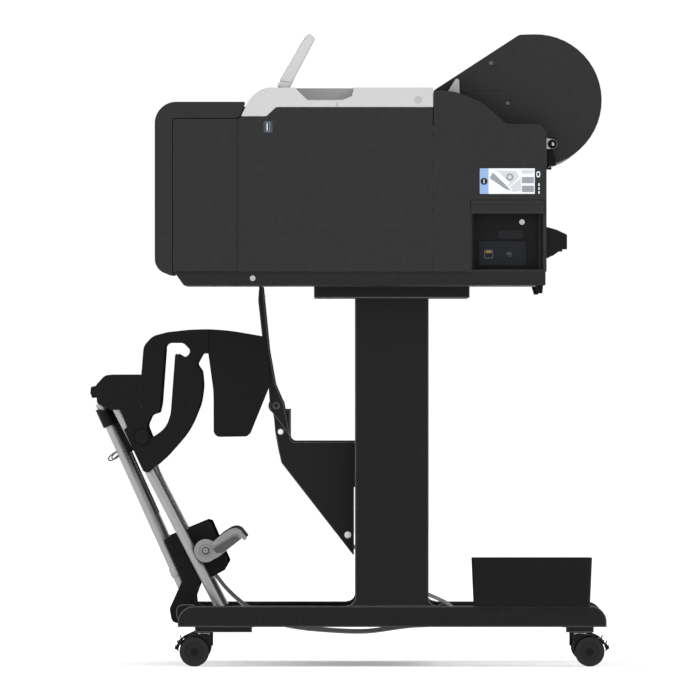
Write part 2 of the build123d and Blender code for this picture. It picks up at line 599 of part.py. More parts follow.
# ---------------------------------------------------------------- mechanism, moving
roller = disc(FEED[0], FEED[1], FEED[2], -460, 460) + disc(FEED[0], FEED[1], 6.0, -606, 606)
save("feed_roller", roller)
pinch = disc(FEED[0], PINCH_Z, 3.0, -605, 605)
for i in range(12):
    centre_x = -412.5 + 75 * i
    pinch = pinch + disc(FEED[0], PINCH_Z, PINCH_R, centre_x - 14, centre_x + 14)
save("pinch_rollers", pinch)

carriage_x = 520.0
carriage = block(-62, 62, -58, 61.5, 892, 934) - block(-56, 56, -52, 40, 915, 935)
carriage = fillet(carriage.edges().filter_by(Axis.Z), 3)
carriage = carriage + block(-20, 20, 50, 61.5, 930, 938.9) + block(-20, 20, 50, 99.8, 937.2, 938.9)
carriage = carriage + block(-20, 20, 96.2, 99.8, 922, 938.9)
carriage = carriage + block(-48, 48, -40, 30, 888.5, 892)
save("carriage", Location((carriage_x, 0, 0)) * carriage)

spindle = disc(*ROLL_CENTRE, 13.0, -580, 580)
for side in (1, -1):
    spindle = spindle + disc(*ROLL_CENTRE, 66, side * 460, side * 468)
    spindle = spindle + disc(*ROLL_CENTRE, 20, side * 574, side * 584)
save("roll_spindle", spindle)
save("paper_roll", disc(*ROLL_CENTRE, 58, -457.2, 457.2) - disc(*ROLL_CENTRE, 25.4, -458, 458))


# ---------------------------------------------------------------- stacker
TUBES = []
for side in (1, -1):
    TUBES.append(tube(*REAR_TUBE, side * 434, TUBE_R, 1.5))
    TUBES.append(tube(*FRONT_TUBE, side * 392, TUBE_R, 1.5))
cross_bars = [disc(-262, 128, 7, -404, 404), disc(-398, 459, 8, -380, 380)]
save("stacker_tubes", *TUBES, *cross_bars, disc(*LOW_ROD, 4, -404, 404), disc(*CLOTH_ROD, 5, -446, 446))


def make_lower_bracket():
    """Cast bracket that joins both tubes and pivots on the foot."""
    y, z = STACKER_HINGE
    side = [(-310.7, 210.9, 2), (-305.7, 215.2, 2), (-239.7, 242.7, 3), (-232.5, 240.5, 3), (-223.1, 219.1),
            (-202.2, 172.7, 4), (-209.2, 160.8, 5), (-234.8, 147.6, 3), (-249.4, 139.9, 3), (-259.1, 113.6, 4),
            (-257.6, 96, 8), (-262, 74, 10), (-280, 69.8, 8), (-298, 74, 10), (-302, 96, 10), (-288.3, 126.5, 8),
            (-280.6, 143.2, 6)]
    bracket = slab(side, 404, 418)
    bracket = bracket + disc(*LOCK_HINGE, 10.5, 418, 444) + disc(*LOCK_HINGE, 4.0, 444, 456)
    bracket = bracket - disc(y, z, 5.05, 403, 419)
    pad = slab([(-276, 202), (-259, 211), (-250, 193), (-267, 184)], 418, 424.9)
    return bracket + pad


def make_head():
    """Housing at the top of the tubes, between the arms."""
    side = [(-426.3, 470, 10), (-409.5, 488.3, 14), (-349.8, 488.3), (-349.8, 431), (-383, 429.8, 4), (-400, 429.3, 8),
            (-423, 440, 6)]
    head = slab(side, 380, 458)
    for z0 in (457.5, 449, 440.5):
        groove = slab([(-412, z0), (-412, z0 + 1.4), (-352, z0 + 1.4), (-352, z0)], 457, 459)
        head = head - groove
    head = head + disc(-409.9, 462.1, 10.7, 458, 458.8) + disc(-371, 467, 4.8, 458, 458.8)
    knob = slab([(-426, 470), (-433.5, 468, 2), (-434.7, 458, 3), (-431.5, 449.5, 2), (-424, 450)], 440, 456)
    clamp = tube((-420, 445.6), (-401, 403.4), 392, 12.6)
    clamp = clamp - tube((-430, 467.8), (-390, 379), 392, TUBE_R)
    clamp = clamp - slab([(-440, 429.2), (-440, 500), (-380, 500), (-380, 429.2)], 370, 420)
    head = head + knob + clamp
    return head - tube(*REAR_TUBE, 434, TUBE_R) - tube(*FRONT_TUBE, 392, TUBE_R)


def make_arm():
    """Slotted side arm; the curved slot takes the cloth rod."""
    outer = [(-349.2, 488.0), (-345.2, 536.8, 20), (-330, 553.5, 26), (-305.5, 560.0, 60), (-267.0, 564.2, 200),
             (-237.5, 565.0), (-237.5, 523.9, 2), (-247.7, 523.9, 4), (-257.4, 506.0, 6), (-249.1, 494.5, 10),
             (-246.5, 470.2, 80), (-250.5, 440, 80), (-269.5, 393.3, 140), (-308.0, 349.6, 140), (-337.5, 323.6, 5),
             (-346, 327, 3), (-378.6, 396.8, 2), (-373, 400.5), (-383.0, 429.5), (-349.2, 430.5)]
    arm = slab(outer, 446, 457.5)
    slot = [(-312.0, 541.9, 9), (-278.6, 541.9, 11.5), (-264.5, 528, 8), (-276, 516.0, 9), (-291.0, 524.5, 1.5),
            (-292.6, 520.1), (-299.8, 423.9, 40), (-307, 400, 40), (-333.3, 381.2, 3), (-341.6, 402.0, 12),
            (-334.0, 419.6, 10), (-320.8, 424.0, 4), (-317.5, 440), (-310.8, 531)]
    arm = arm - slab(slot, 445, 459)
    return arm - disc(*CLOTH_ROD, 5.2, 445, 447)


def make_fin():
    """Rear fin of the arm that catches the cut sheets."""
    side = [(-236.9, 565.0), (-202.8, 563.0, 300), (-146.6, 553.4), (-140.2, 549.4, 3), (-135.0, 482.9, 60),
            (-137.5, 465.0, 20), (-170.0, 385.0, 8), (-227.8, 384.2, 11), (-228.0, 460, 160), (-236.9, 524.5)]
    return slab(side, 448, 455.5)


arm_knob = disc(*CLOTH_ROD, 11.7, 457.5, 466) + disc(*CLOTH_ROD, 8.5, 466, 467.2)
save("stacker_brackets", both(make_lower_bracket()))
save("stacker_heads", both(make_head()), both(arm_knob))
save("stacker_arms", both(make_arm()), both(make_fin()))


def make_lock_lever():
    """Lever that locks the stacker; its handle is a hollow grip."""
    hub = disc(*LOCK_HINGE, 19.5, 446.2, 453)
    grip = slab([(-229.0, 208.5), (-214.0, 221.0, 10), (-199.0, 230.5, 20), (-189.5, 231.6, 7), (-182.7, 228.5, 6),
                 (-171.5, 214.6, 2), (-176.2, 210.6, 1), (-180, 214, 2), (-189, 222.5, 5), (-197, 219, 3),
                 (-229.5, 200.0)], 445.5, 457)
    web = slab([(-229.5, 200.5), (-197, 219.5, 3), (-189, 222.5, 4), (-180.5, 213.8), (-220.3, 182.8), (-228.5, 178.6)],
               449, 453.5)
    lever = hub + grip + web
    lever = lever - disc(*LOCK_HINGE, 4.06, 440, 460)
    ring = disc(*LOCK_HINGE, 11.5, 452, 460) - disc(*LOCK_HINGE, 6.2, 452, 460)
    return lever - ring


lock = make_lock_lever()
save("lock_lever_right", lock)
save("lock_lever_left", mirror(lock, about=Plane.YZ))

# The cloth: one sheet, cut where the stacker's pivoting part takes it over.
CLOTH_FIXED = [(-151.6, 626), (-152.4, 600, 40), (-145.6, 550, 80), (-131.5, 440, 60), (-122.9, 392, 60), (-110.5, 344, 25),
               (8.0, 192.0, 50), (122.0, 121.0, 30), (170.0, 101.0, 10), (178.0, 84.0, 10), (164, 68, 10),
               (98.0, 66.0, 60), (10.9, 52.5, 160), (-93.0, 66.0, 60), (-150.0, 92.5, 60), (-198.0, 123.0)]
CLOTH_STACKER = [(-227.5, 157.5), (-280, 250, 400), (-341.0, 377.0)]
save("cloth_fixed", slab(strip(CLOTH_FIXED, CLOTH_T), -CLOTH_HALF, CLOTH_HALF))
save("cloth_stacker", slab(strip(CLOTH_STACKER, CLOTH_T), -403, 403))


# ---------------------------------------------------------------- output
os.makedirs("parts", exist_ok=True)
for name, shape in NODES.items():
    export_step(shape, f"parts/{name}.step")
print(f"{len(NODES)} nodes written")
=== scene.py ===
"""Looks of a large format plotter on its castered stand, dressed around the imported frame."""

import json
import logging
import math
from collections.abc import Callable, Iterable, Sequence
from dataclasses import dataclass, field
from enum import Enum
from typing import Any

import bmesh
import bpy
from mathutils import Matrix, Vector


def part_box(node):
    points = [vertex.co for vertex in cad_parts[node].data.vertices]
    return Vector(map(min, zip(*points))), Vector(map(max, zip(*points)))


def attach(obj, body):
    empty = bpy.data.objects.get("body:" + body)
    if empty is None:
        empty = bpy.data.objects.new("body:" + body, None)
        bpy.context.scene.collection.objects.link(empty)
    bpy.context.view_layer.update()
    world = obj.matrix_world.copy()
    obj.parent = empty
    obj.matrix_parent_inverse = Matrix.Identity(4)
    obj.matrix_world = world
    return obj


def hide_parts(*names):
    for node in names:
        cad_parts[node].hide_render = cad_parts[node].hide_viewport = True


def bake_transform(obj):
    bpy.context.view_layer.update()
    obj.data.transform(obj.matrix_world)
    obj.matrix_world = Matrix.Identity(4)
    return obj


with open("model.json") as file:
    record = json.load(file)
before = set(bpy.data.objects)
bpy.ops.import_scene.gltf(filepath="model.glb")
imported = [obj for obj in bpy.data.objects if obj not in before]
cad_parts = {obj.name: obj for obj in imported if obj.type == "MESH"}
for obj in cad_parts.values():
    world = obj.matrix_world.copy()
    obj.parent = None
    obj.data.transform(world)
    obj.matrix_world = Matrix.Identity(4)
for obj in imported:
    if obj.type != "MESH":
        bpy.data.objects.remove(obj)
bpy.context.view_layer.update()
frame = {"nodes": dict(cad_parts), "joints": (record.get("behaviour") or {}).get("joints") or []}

LOG = logging.getLogger("plotter")
Point = tuple[float, float]
Colour = tuple[float, float, float]

ROOT = "printer_and_stand"
STACKER = "stacker"
HANDS = (("right", 1), ("left", -1))
CASTERS = tuple(f"{end}_{hand}" for end in ("front", "rear") for hand in ("right", "left"))


def tone(code: str) -> Colour:
    """Turns a display colour into the linear values that shaders use.

    Args:
        code: six hexadecimal digits.

    Returns:
        Linear red, green and blue.
    """
    shares = [int(code[i:i + 2], 16) / 255 for i in (0, 2, 4)]
    return tuple(s / 12.92 if s <= 0.04045 else ((s + 0.055) / 1.055) ** 2.4 for s in shares)


# ---------------------------------------------------------------- shader sheets
class Strand:
    """One shader value; Python expressions on it add Math nodes."""

    def __init__(self, sheet: "MaterialSheet", socket: bpy.types.NodeSocket) -> None:
        """Wraps an output socket of one sheet."""
        self.sheet = sheet
        self.socket = socket

    def _math(self, operation: str, *terms: Any, clamp: bool = False) -> "Strand":
        """Adds one Math node over the given terms."""
        node = self.sheet.add("ShaderNodeMath", {"operation": operation, "use_clamp": clamp},
                              dict(enumerate(terms)))
        return Strand(self.sheet, node.outputs[0])

    def __add__(self, other: Any) -> "Strand":
        """Sum of both."""
        return self._math("ADD", self, other)

    def __sub__(self, other: Any) -> "Strand":
        """This less the other."""
        return self._math("SUBTRACT", self, other)

    def __rsub__(self, other: Any) -> "Strand":
        """The other less this."""
        return self._math("SUBTRACT", other, self)

    def __mul__(self, other: Any) -> "Strand":
        """Product of both."""
        return self._math("MULTIPLY", self, other)

    def __truediv__(self, other: Any) -> "Strand":
        """This over the other."""
        return self._math("DIVIDE", self, other)

    def __rtruediv__(self, other: Any) -> "Strand":
        """The other over this."""
        return self._math("DIVIDE", other, self)

    def __pow__(self, other: Any) -> "Strand":
        """This to the power of the other."""
        return self._math("POWER", self, other)

    __radd__ = __add__
    __rmul__ = __mul__

    def limited(self) -> "Strand":
        """This value held between 0 and 1."""
        return self._math("ADD", self, 0.0, clamp=True)

    def over(self, limit: float, soft: float = 0.05) -> "Strand":
        """A mask that rises from 0 to 1 where this value passes the limit.

        Args:
            limit: the value at the middle of the rise.
            soft: half the width of the rise.

        Returns:
            The mask.
        """
        return ((self - (limit - soft)) / (2 * soft)).limited()

    def size(self) -> "Strand":
        """This value without its sign."""
        return self._math("ABSOLUTE", self)

    def sine(self) -> "Strand":
        """Sine of this value."""
        return self._math("SINE", self)


class MaterialSheet:
    """A material being drawn up: adds nodes and ends in one surface."""

    def __init__(self, name: str) -> None:
        """Starts an empty material."""
        self.material = bpy.data.materials.new(name)
        self.material.use_nodes = True
        self.tree = self.material.node_tree
        self.tree.nodes.clear()

    def add(self, kind: str, settings: dict[str, Any] | None = None,
            feeds: dict[int | str, Any] | None = None) -> bpy.types.Node:
        """Adds one node.

        Args:
            kind: the node's type.
            settings: its own settings, set first; "stops" are a ramp's (place, colour) pairs.
            feeds: the value, strand or socket for each of its inputs.

        Returns:
            The node.
        """
        node = self.tree.nodes.new(kind)
        for key, value in (settings or {}).items():
            if key == "stops":
                self._set_stops(node, value)
            else:
                setattr(node, key, value)
        for key, value in (feeds or {}).items():
            value = value.socket if isinstance(value, Strand) else value
            if isinstance(value, bpy.types.NodeSocket):
                self.tree.links.new(value, node.inputs[key])
            else:
                node.inputs[key].default_value = value
        return node

    @staticmethod
    def _set_stops(node: bpy.types.Node, stops: Sequence[tuple[float, Colour]]) -> None:
        """Fills a ramp with its stops.

        Args:
            node: the ramp.
            stops: (place, colour) pairs, in order.
        """
        elements = node.color_ramp.elements
        while len(elements) < len(stops):
            elements.new(0.5)
        for element, (place, colour) in zip(elements, stops):
            element.position = place
            element.color = (*colour, 1)

    def place(self, stretch: Sequence[float] = (1, 1, 1)) -> bpy.types.NodeSocket:
        """Coordinates fixed to the piece, in metres, stretched along its axes."""
        where = self.add("ShaderNodeTexCoord").outputs["Object"]
        if tuple(stretch) == (1, 1, 1):
            return where
        scaled = self.add("ShaderNodeVectorMath", {"operation": "MULTIPLY"}, {0: where, 1: tuple(stretch)})
        return scaled.outputs[0]

    def axis(self, name: str) -> Strand:
        """One coordinate of the piece, in metres."""
        split = self.add("ShaderNodeSeparateXYZ", None, {0: self.place()})
        return Strand(self, split.outputs[name])

    def stored(self, name: str) -> Strand:
        """A value that the piece's own mesh carries."""
        return Strand(self, self.add("ShaderNodeAttribute", {"attribute_name": name}).outputs["Fac"])

    def noise(self, size: float, detail: float = 2.0, stretch: Sequence[float] = (1, 1, 1)) -> Strand:
        """Soft noise.

        Args:
            size: how far apart its features are, in metres.
            detail: how many finer layers it has.
            stretch: how much denser it is along each axis.

        Returns:
            Values about 0.5.
        """
        node = self.add("ShaderNodeTexNoise", None,
                        {"Vector": self.place(stretch), "Scale": 1 / size, "Detail": detail})
        return Strand(self, node.outputs[0])

    def cells(self, size: float) -> Strand:
        """Distance to scattered cell centres, a pebbled grain."""
        node = self.add("ShaderNodeTexVoronoi", None, {"Vector": self.place(), "Scale": 1 / size})
        return Strand(self, node.outputs["Distance"])

    def edges(self, radius: float) -> tuple[Strand, bpy.types.NodeSocket]:
        """Finds the edges of a piece.

        Args:
            radius: how far an edge reaches, in metres.

        Returns:
            A mask that is 1 on the edges, and the normal with its edges rounded.
        """
        rounded = self.add("ShaderNodeBevel", {"samples": 4}, {"Radius": radius}).outputs[0]
        true = self.add("ShaderNodeNewGeometry").outputs["Normal"]
        dot = self.add("ShaderNodeVectorMath", {"operation": "DOT_PRODUCT"}, {0: rounded, 1: true})
        return ((1 - Strand(self, dot.outputs["Value"])) * 4).limited(), rounded

    def mix(self, share: Any, first: Any, second: Any) -> bpy.types.NodeSocket:
        """Colour between two.

        Args:
            share: how much of the second, from 0 to 1.
            first: the first colour.
            second: the second colour.

        Returns:
            The mixed colour.
        """
        def opaque(colour: Any) -> Any:
            """A colour with its fourth value."""
            return (*colour, 1) if isinstance(colour, tuple) and len(colour) == 3 else colour
        node = self.add("ShaderNodeMix", {"data_type": "RGBA"},
                        {0: share, 6: opaque(first), 7: opaque(second)})
        return node.outputs[2]

    def shaded(self, colour: Colour, amount: Strand) -> bpy.types.NodeSocket:
        """A colour made lighter or darker by a strand about 1."""
        node = self.add("ShaderNodeVectorMath", {"operation": "SCALE"}, {0: colour, "Scale": amount})
        return node.outputs[0]

    def bump(self, height: Strand, depth: float, normal: Any = None) -> bpy.types.NodeSocket:
        """Normal of a relief.

        Args:
            height: the relief, from 0 to 1.
            depth: its full depth, in metres.
            normal: the normal that it starts from.

        Returns:
            The normal for a surface.
        """
        feeds = {"Height": height, "Distance": depth, "Strength": 1.0}
        if normal is not None:
            feeds["Normal"] = normal
        return self.add("ShaderNodeBump", None, feeds).outputs[0]

    def surface(self, **feeds: Any) -> bpy.types.Material:
        """Ends the sheet in one surface.

        Args:
            feeds: the surface's inputs, underscores for spaces.

        Returns:
            The finished material.
        """
        named = {key.replace("_", " "): value for key, value in feeds.items()}
        shader = self.add("ShaderNodeBsdfPrincipled", None, named)
        self.add("ShaderNodeOutputMaterial", None, {"Surface": shader.outputs[0]})
        return self.material


# ---------------------------------------------------------------- finishes
@dataclass(frozen=True)
class Moulded:
    """Injection-moulded plastic with a spark-eroded grain and edges lightened towards the edge colour as a
    painted highlight.

    A lip is the height below which the piece is darker; inner is how far out from the middle of the
    machine its recesses are darkened with painted shade.
    """

    name: str
    colour: Colour
    edge: Colour
    roughness: float = 0.55
    grain: float = 0.0011
    depth: float = 0.00006
    gloss: float = 0.16
    lip: float | None = None
    inner: float | None = None

    def build(self) -> bpy.types.Material:
        """Draws up the material."""
        sheet = MaterialSheet(self.name)
        clouds = sheet.noise(0.16, 4.0)
        grain = sheet.cells(self.grain)
        dust = sheet.noise(0.012, 5.0).over(0.62, 0.08)
        # painted highlight: the edge mask lightens every edge towards the edge colour
        edge_highlight, rounded = sheet.edges(0.0014)
        body = sheet.shaded(self.colour, 0.93 + clouds * 0.14)
        if self.lip is not None:
            low = 1 - sheet.axis("Z").over(self.lip, 0.0006)
            body = sheet.mix(low * 0.42, body, (0.002, 0.002, 0.002))
        # painted shade: surfaces nearer the middle than inner, the recesses, are darkened almost to black
        if self.inner is not None:
            painted_recess_shade = 1 - sheet.axis("X").size().over(self.inner, 0.0006)
            body = sheet.mix(painted_recess_shade * 0.92, body, (0.001, 0.001, 0.001))
        body = sheet.mix(dust * 0.04, body, self.edge)
        return sheet.surface(
            Base_Color=sheet.mix(edge_highlight * 0.5, body, self.edge),
            Roughness=self.roughness + (clouds - 0.5) * 0.16 + dust * 0.08,
            Specular_IOR_Level=self.gloss,
            Normal=sheet.bump(grain, self.depth, rounded))


@dataclass(frozen=True)
class PowderCoat:
    """Powder-coated sheet steel, with a fine orange peel."""

    name: str
    colour: Colour
    edge: Colour
    roughness: float = 0.42
    gloss: float = 0.16

    def build(self) -> bpy.types.Material:
        """Draws up the material."""
        sheet = MaterialSheet(self.name)
        peel = sheet.noise(0.0016, 2.0)
        clouds = sheet.noise(0.2, 3.0)
        scuff = sheet.noise(0.02, 6.0, (1, 1, 0.2)).over(0.66, 0.04)
        # painted highlight: the edge mask lightens every edge towards the edge colour; the scuffs are wear
        edge_highlight, rounded = sheet.edges(0.0036)
        body = sheet.shaded(self.colour, 0.92 + clouds * 0.16)
        return sheet.surface(
            Base_Color=sheet.mix(edge_highlight * 0.6 + scuff * 0.008, body, self.edge),
            Roughness=self.roughness + (peel - 0.5) * 0.1 + scuff * 0.15,
            Specular_IOR_Level=self.gloss,
            Normal=sheet.bump(peel, 0.00009, rounded))


class Lay(Enum):
    """Which way a metal is brushed."""

    ALONG_X = (0.02, 1, 1)
    ALONG_TUBES = (1, 0.5, 0.04)
    TURNED = (1, 1, 1)


@dataclass(frozen=True)
class BrushedMetal:
    """Drawn or plated metal with fine marks along its lay."""

    name: str
    colour: Colour
    roughness: float = 0.3
    lay: Lay = Lay.TURNED
    metallic: float = 1.0

    def build(self) -> bpy.types.Material:
        """Draws up the material."""
        sheet = MaterialSheet(self.name)
        marks = sheet.noise(0.0007, 4.0, self.lay.value)
        clouds = sheet.noise(0.05, 4.0)
        # painted highlight: the edge mask lightens every edge towards a pale grey
        edge_highlight, rounded = sheet.edges(0.0006)
        body = sheet.shaded(self.colour, 0.86 + marks * 0.18 + clouds * 0.1)
        return sheet.surface(
            Base_Color=sheet.mix(edge_highlight * 0.3, body, (0.85, 0.85, 0.86)),
            Metallic=self.metallic,
            Roughness=self.roughness + (marks - 0.5) * 0.18 + (clouds - 0.5) * 0.12,
            Normal=sheet.bump(marks, 0.00002, rounded))


@dataclass(frozen=True)
class Rubber:
    """Matt rubber with a dusty bloom."""

    name: str
    colour: Colour

    def build(self) -> bpy.types.Material:
        """Draws up the material."""
        sheet = MaterialSheet(self.name)
        bloom = sheet.noise(0.01, 5.0)
        grain = sheet.noise(0.0006, 2.0)
        # painted highlight: the edge mask lightens every edge a little
        edge_highlight, rounded = sheet.edges(0.0012)
        body = sheet.shaded(self.colour, 0.8 + bloom * 0.4)
        return sheet.surface(
            Base_Color=sheet.mix(edge_highlight * 0.35, body, (0.06, 0.06, 0.06)),
            Roughness=0.72 + (bloom - 0.5) * 0.2,
            Specular_IOR_Level=0.25,
            Normal=sheet.bump(grain, 0.00005, rounded))


@dataclass(frozen=True)
class Weave:
    """Plain-woven basket cloth: warp and weft threads with a slight sheen."""

    name: str
    colour: Colour
    light: Colour
    binding: Colour
    thread: float = 0.0022

    def build(self) -> bpy.types.Material:
        """Draws up the material."""
        sheet = MaterialSheet(self.name)
        turns = 2 * math.pi / self.thread
        warp = (sheet.axis("X") * turns).sine()
        weft = (sheet.stored("run") * turns).sine()
        weave = (warp * weft * 0.5 + 0.5).limited()
        slub = sheet.noise(0.03, 4.0, (0.2, 1, 1))
        fuzz = sheet.noise(0.0009, 3.0)
        lit = (weave * 0.5 + slub * 0.35 + fuzz * 0.25).limited()
        tape = sheet.stored("tape").over(0.5)
        cloth = sheet.mix(lit * 0.6, self.colour, self.light)
        return sheet.surface(
            Base_Color=sheet.mix(tape * (0.8 + weave * 0.2), cloth, self.binding),
            Roughness=0.78 + (slub - 0.5) * 0.2,
            Specular_IOR_Level=0.2,
            Sheen_Weight=0.25,
            Sheen_Roughness=0.5,
            Normal=sheet.bump(weave * 0.7 + fuzz * 0.3, 0.0003))


@dataclass(frozen=True)
class Clear:
    """Smoked clear plastic with faint wipe marks."""

    name: str
    colour: Colour
    passing: float

    def build(self) -> bpy.types.Material:
        """Draws up the material."""
        sheet = MaterialSheet(self.name)
        wipes = sheet.noise(0.05, 5.0, (0.3, 1, 1))
        return sheet.surface(
            Base_Color=sheet.mix(wipes * 0.1, self.colour, (0.2, 0.2, 0.2)),
            Roughness=0.04 + wipes * 0.08,
            Transmission_Weight=self.passing,
            IOR=1.49)


@dataclass(frozen=True)
class Printed:
    """Printed film or lacquer: flat colour with a slight orange peel and ageing."""

    name: str
    colour: Colour
    roughness: float = 0.35

    def build(self) -> bpy.types.Material:
        """Draws up the material."""
        sheet = MaterialSheet(self.name)
        age = sheet.noise(0.03, 4.0)
        peel = sheet.noise(0.003, 1.0)
        return sheet.surface(
            Base_Color=sheet.shaded(self.colour, 0.94 + age * 0.12),
            Roughness=self.roughness + (age - 0.5) * 0.1,
            Specular_IOR_Level=0.4,
            Normal=sheet.bump(peel, 0.00002))


@dataclass(frozen=True)
class Paper:
    """Coated roll paper, with its wound edge lines and fibre."""

    name: str
    colour: Colour

    def build(self) -> bpy.types.Material:
        """Draws up the material."""
        sheet = MaterialSheet(self.name)
        fibre = sheet.noise(0.0012, 4.0)
        wound = sheet.noise(0.002, 2.0, (4, 1, 1))
        return sheet.surface(
            Base_Color=sheet.shaded(self.colour, 0.95 + fibre * 0.06 + wound * 0.03),
            Roughness=0.75 + (fibre - 0.5) * 0.1,
            Specular_IOR_Level=0.3,
            Normal=sheet.bump(fibre * 0.6 + wound * 0.4, 0.00004))


@dataclass(frozen=True)
class StudioFloor:
    """Pale seamless floor, lit a little from below so that shadows stay soft."""

    name: str
    colour: Colour
    glow: float = 0.22

    def build(self) -> bpy.types.Material:
        """Draws up the material."""
        sheet = MaterialSheet(self.name)
        clouds = sheet.noise(2.0, 2.0)
        return sheet.surface(
            Base_Color=sheet.shaded(self.colour, 0.99 + clouds * 0.02),
            Roughness=0.9,
            Specular_IOR_Level=0.1,
            Emission_Color=(1, 1, 1, 1),
            Emission_Strength=self.glow)


class Coat(Enum):
    """Every finish on the machine."""

    # The second colour of each moulded and powder-coated finish is its painted edge highlight, also used for
    # its dust and scuffs.
    HOUSING = Moulded("housing plastic", tone("242424"), tone("5c5c5c"))
    CHASSIS = Moulded("chassis and lower cover plastic", tone("242424"), tone("505050"), lip=0.6605)
    # inner: the rear side covers' recesses get painted shade
    REAR_SIDE = Moulded("rear side cover plastic", tone("242424"), tone("606060"), inner=0.6405)
    DARK_PLASTIC = Moulded("dark moulded plastic", tone("101010"), tone("383838"), 0.5, gloss=0.1)
    CAP = Moulded("pale cap plastic", tone("b8b8b8"), tone("d8d8d8"), 0.5, depth=0.00004, gloss=0.2)
    PANEL = Moulded("panel plastic", tone("b8b8b9"), tone("cccccc"), 0.45, depth=0.00003, gloss=0.2)
    LEVER = Moulded("lever plastic", tone("9a9a9a"), tone("b8b8b8"), 0.48, depth=0.00004, gloss=0.2)
    LOCK = Moulded("lock lever plastic", tone("828282"), tone("b0b0b0"), 0.45, depth=0.00004, gloss=0.2)
    # painted shade for the hollow of the lock lever's grip
    GRIP_SHADE_GREY = Moulded("lock lever inset", tone("505050"), tone("606060"), 0.5, depth=0.00004, gloss=0.15)
    FRAME = PowderCoat("powder-coated steel", tone("0f0f0f"), tone("a0a0a0"))
    TUBE = BrushedMetal("anodised tube", tone("979798"), 0.42, Lay.ALONG_TUBES)
    ZINC = BrushedMetal("zinc-plated steel", tone("b4b6b8"), 0.28)
    BRIGHT = Printed("bright end caps", tone("e6e6e6"), 0.3)
    RAIL = BrushedMetal("ground rail steel", tone("a9abad"), 0.3, Lay.ALONG_X)
    GOLD = BrushedMetal("gilt contacts", tone("c9a04a"), 0.3)
    TYRE = Rubber("caster rubber", tone("1c1c1c"))
    ROLLER = Rubber("roller rubber", tone("2a2a2b"))
    CLOTH = Weave("basket cloth", tone("2c2d2f"), tone("68696c"), tone("b4b5b7"))
    WINDOW = Clear("smoked window", tone("2b2d2f"), 0.85)
    SCREEN = Printed("touch screen glass", tone("0d1014"), 0.08)
    PAPER = Paper("roll paper", tone("f2f2ef"))
    PORT = Moulded("port plate", tone("1c1e21"), tone("3c4046"), 0.5, gloss=0.1)
    PORT_RIM = BrushedMetal("dull port shield", tone("5a5c60"), 0.45)
    USB_PLATE = Moulded("front port plate", tone("3d444d"), tone("5a626c"), 0.45)
    INK = Moulded("ink tank plastic", tone("101011"), tone("3a3a3a"), 0.3, gloss=0.4)
    LABEL_BLACK = Printed("label black", tone("0b0b0c"))
    LABEL_WHITE = Printed("label white", tone("dcdee0"))
    LABEL_BLUE = Printed("label blue", tone("86a4cc"))
    LABEL_GREY = Printed("label grey", tone("8c9094"))
    LABEL_MID = Printed("label light grey", tone("c0c4c8"))
    CYAN = Printed("cyan patch", tone("1f9ad0"))
    MAGENTA = Printed("magenta patch", tone("c8307c"))
    YELLOW = Printed("yellow patch", tone("e8c524"))
    STATUS = Printed("status lens", tone("5fa7c9"), 0.2)
    FLOOR = StudioFloor("studio floor", (0.985, 0.985, 0.985))

    @property
    def material(self) -> bpy.types.Material:
        """The material, drawn up once."""
        made = bpy.data.materials.get(self.value.name)
        return made if made is not None else self.value.build()


# ---------------------------------------------------------------- mesh shop
def piece_of(name: str, points: Sequence[Vector], faces: Sequence[Sequence[int]], coat: Coat,
             smooth: float | None = None) -> bpy.types.Object:
    """Makes one object from points and faces.

    Args:
        name: the piece's name.
        points: its corners, in metres.
        faces: corner numbers of each face.
        coat: its finish.
        smooth: the angle in degrees under which faces shade as one, or None for flat faces.

    Returns:
        The object, linked into the scene.
    """
    mesh = bpy.data.meshes.new(name)
    mesh.from_pydata([tuple(p) for p in points], [], [tuple(f) for f in faces])
    work = bmesh.new()
    work.from_mesh(mesh)
    bmesh.ops.recalc_face_normals(work, faces=work.faces)
    work.to_mesh(mesh)
    work.free()
    if smooth is not None:
        mesh.shade_smooth()
        mesh.set_sharp_from_angle(angle=math.radians(smooth))
    mesh.materials.append(coat.material)
    made = bpy.data.objects.new(name, mesh)
    bpy.context.scene.collection.objects.link(made)
    return made


def prism(name: str, side: Sequence[Point], x0: float, x1: float, coat: Coat,
          bevel: float = 0.0) -> bpy.types.Object:
    """Side outline of (y, z) corners, extruded across the machine.

    Args:
        name: the piece's name.
        side: the outline, in metres.
        x0: one end.
        x1: the other end.
        coat: its finish.
        bevel: width of the chamfer on its edges.

    Returns:
        The object.
    """
    count = len(side)
    points = [Vector((x, y, z)) for x in (x0, x1) for y, z in side]
    faces = [list(range(count)), list(range(count, 2 * count))]
    faces += [(i, (i + 1) % count, count + (i + 1) % count, count + i) for i in range(count)]
    made = piece_of(name, points, faces, coat, 35)
    if bevel:
        soften(made, bevel)
    return made


def soften(piece: bpy.types.Object, width: float) -> None:
    """Rounds a piece's sharp edges with two segments."""
    rounding = piece.modifiers.new("soft edges", "BEVEL")
    rounding.width = width
    rounding.segments = 2
    rounding.limit_method = "ANGLE"
    rounding.angle_limit = math.radians(40)


def rounded_box(y0: float, y1: float, z0: float, z1: float, radius: float, steps: int = 5) -> list[Point]:
    """Outline of a rectangle with round corners.

    Args:
        y0: front side.
        y1: rear side.
        z0: bottom.
        z1: top.
        radius: radius of each corner.
        steps: points on each corner.

    Returns:
        Its (y, z) corners in order.
    """
    centres = ((y1 - radius, z1 - radius, 0), (y0 + radius, z1 - radius, 90),
               (y0 + radius, z0 + radius, 180), (y1 - radius, z0 + radius, 270))
    out = []
    for cy, cz, start in centres:
        for i in range(steps):
            angle = math.radians(start + 90 * i / (steps - 1))
            out.append((cy + radius * math.cos(angle), cz + radius * math.sin(angle)))
    return out


def circle(y: float, z: float, radius: float, count: int = 32) -> list[Point]:
    """Outline of a round piece in a side plane."""
    turns = [2 * math.pi * i / count for i in range(count)]
    return [(y + radius * math.cos(t), z + radius * math.sin(t)) for t in turns]


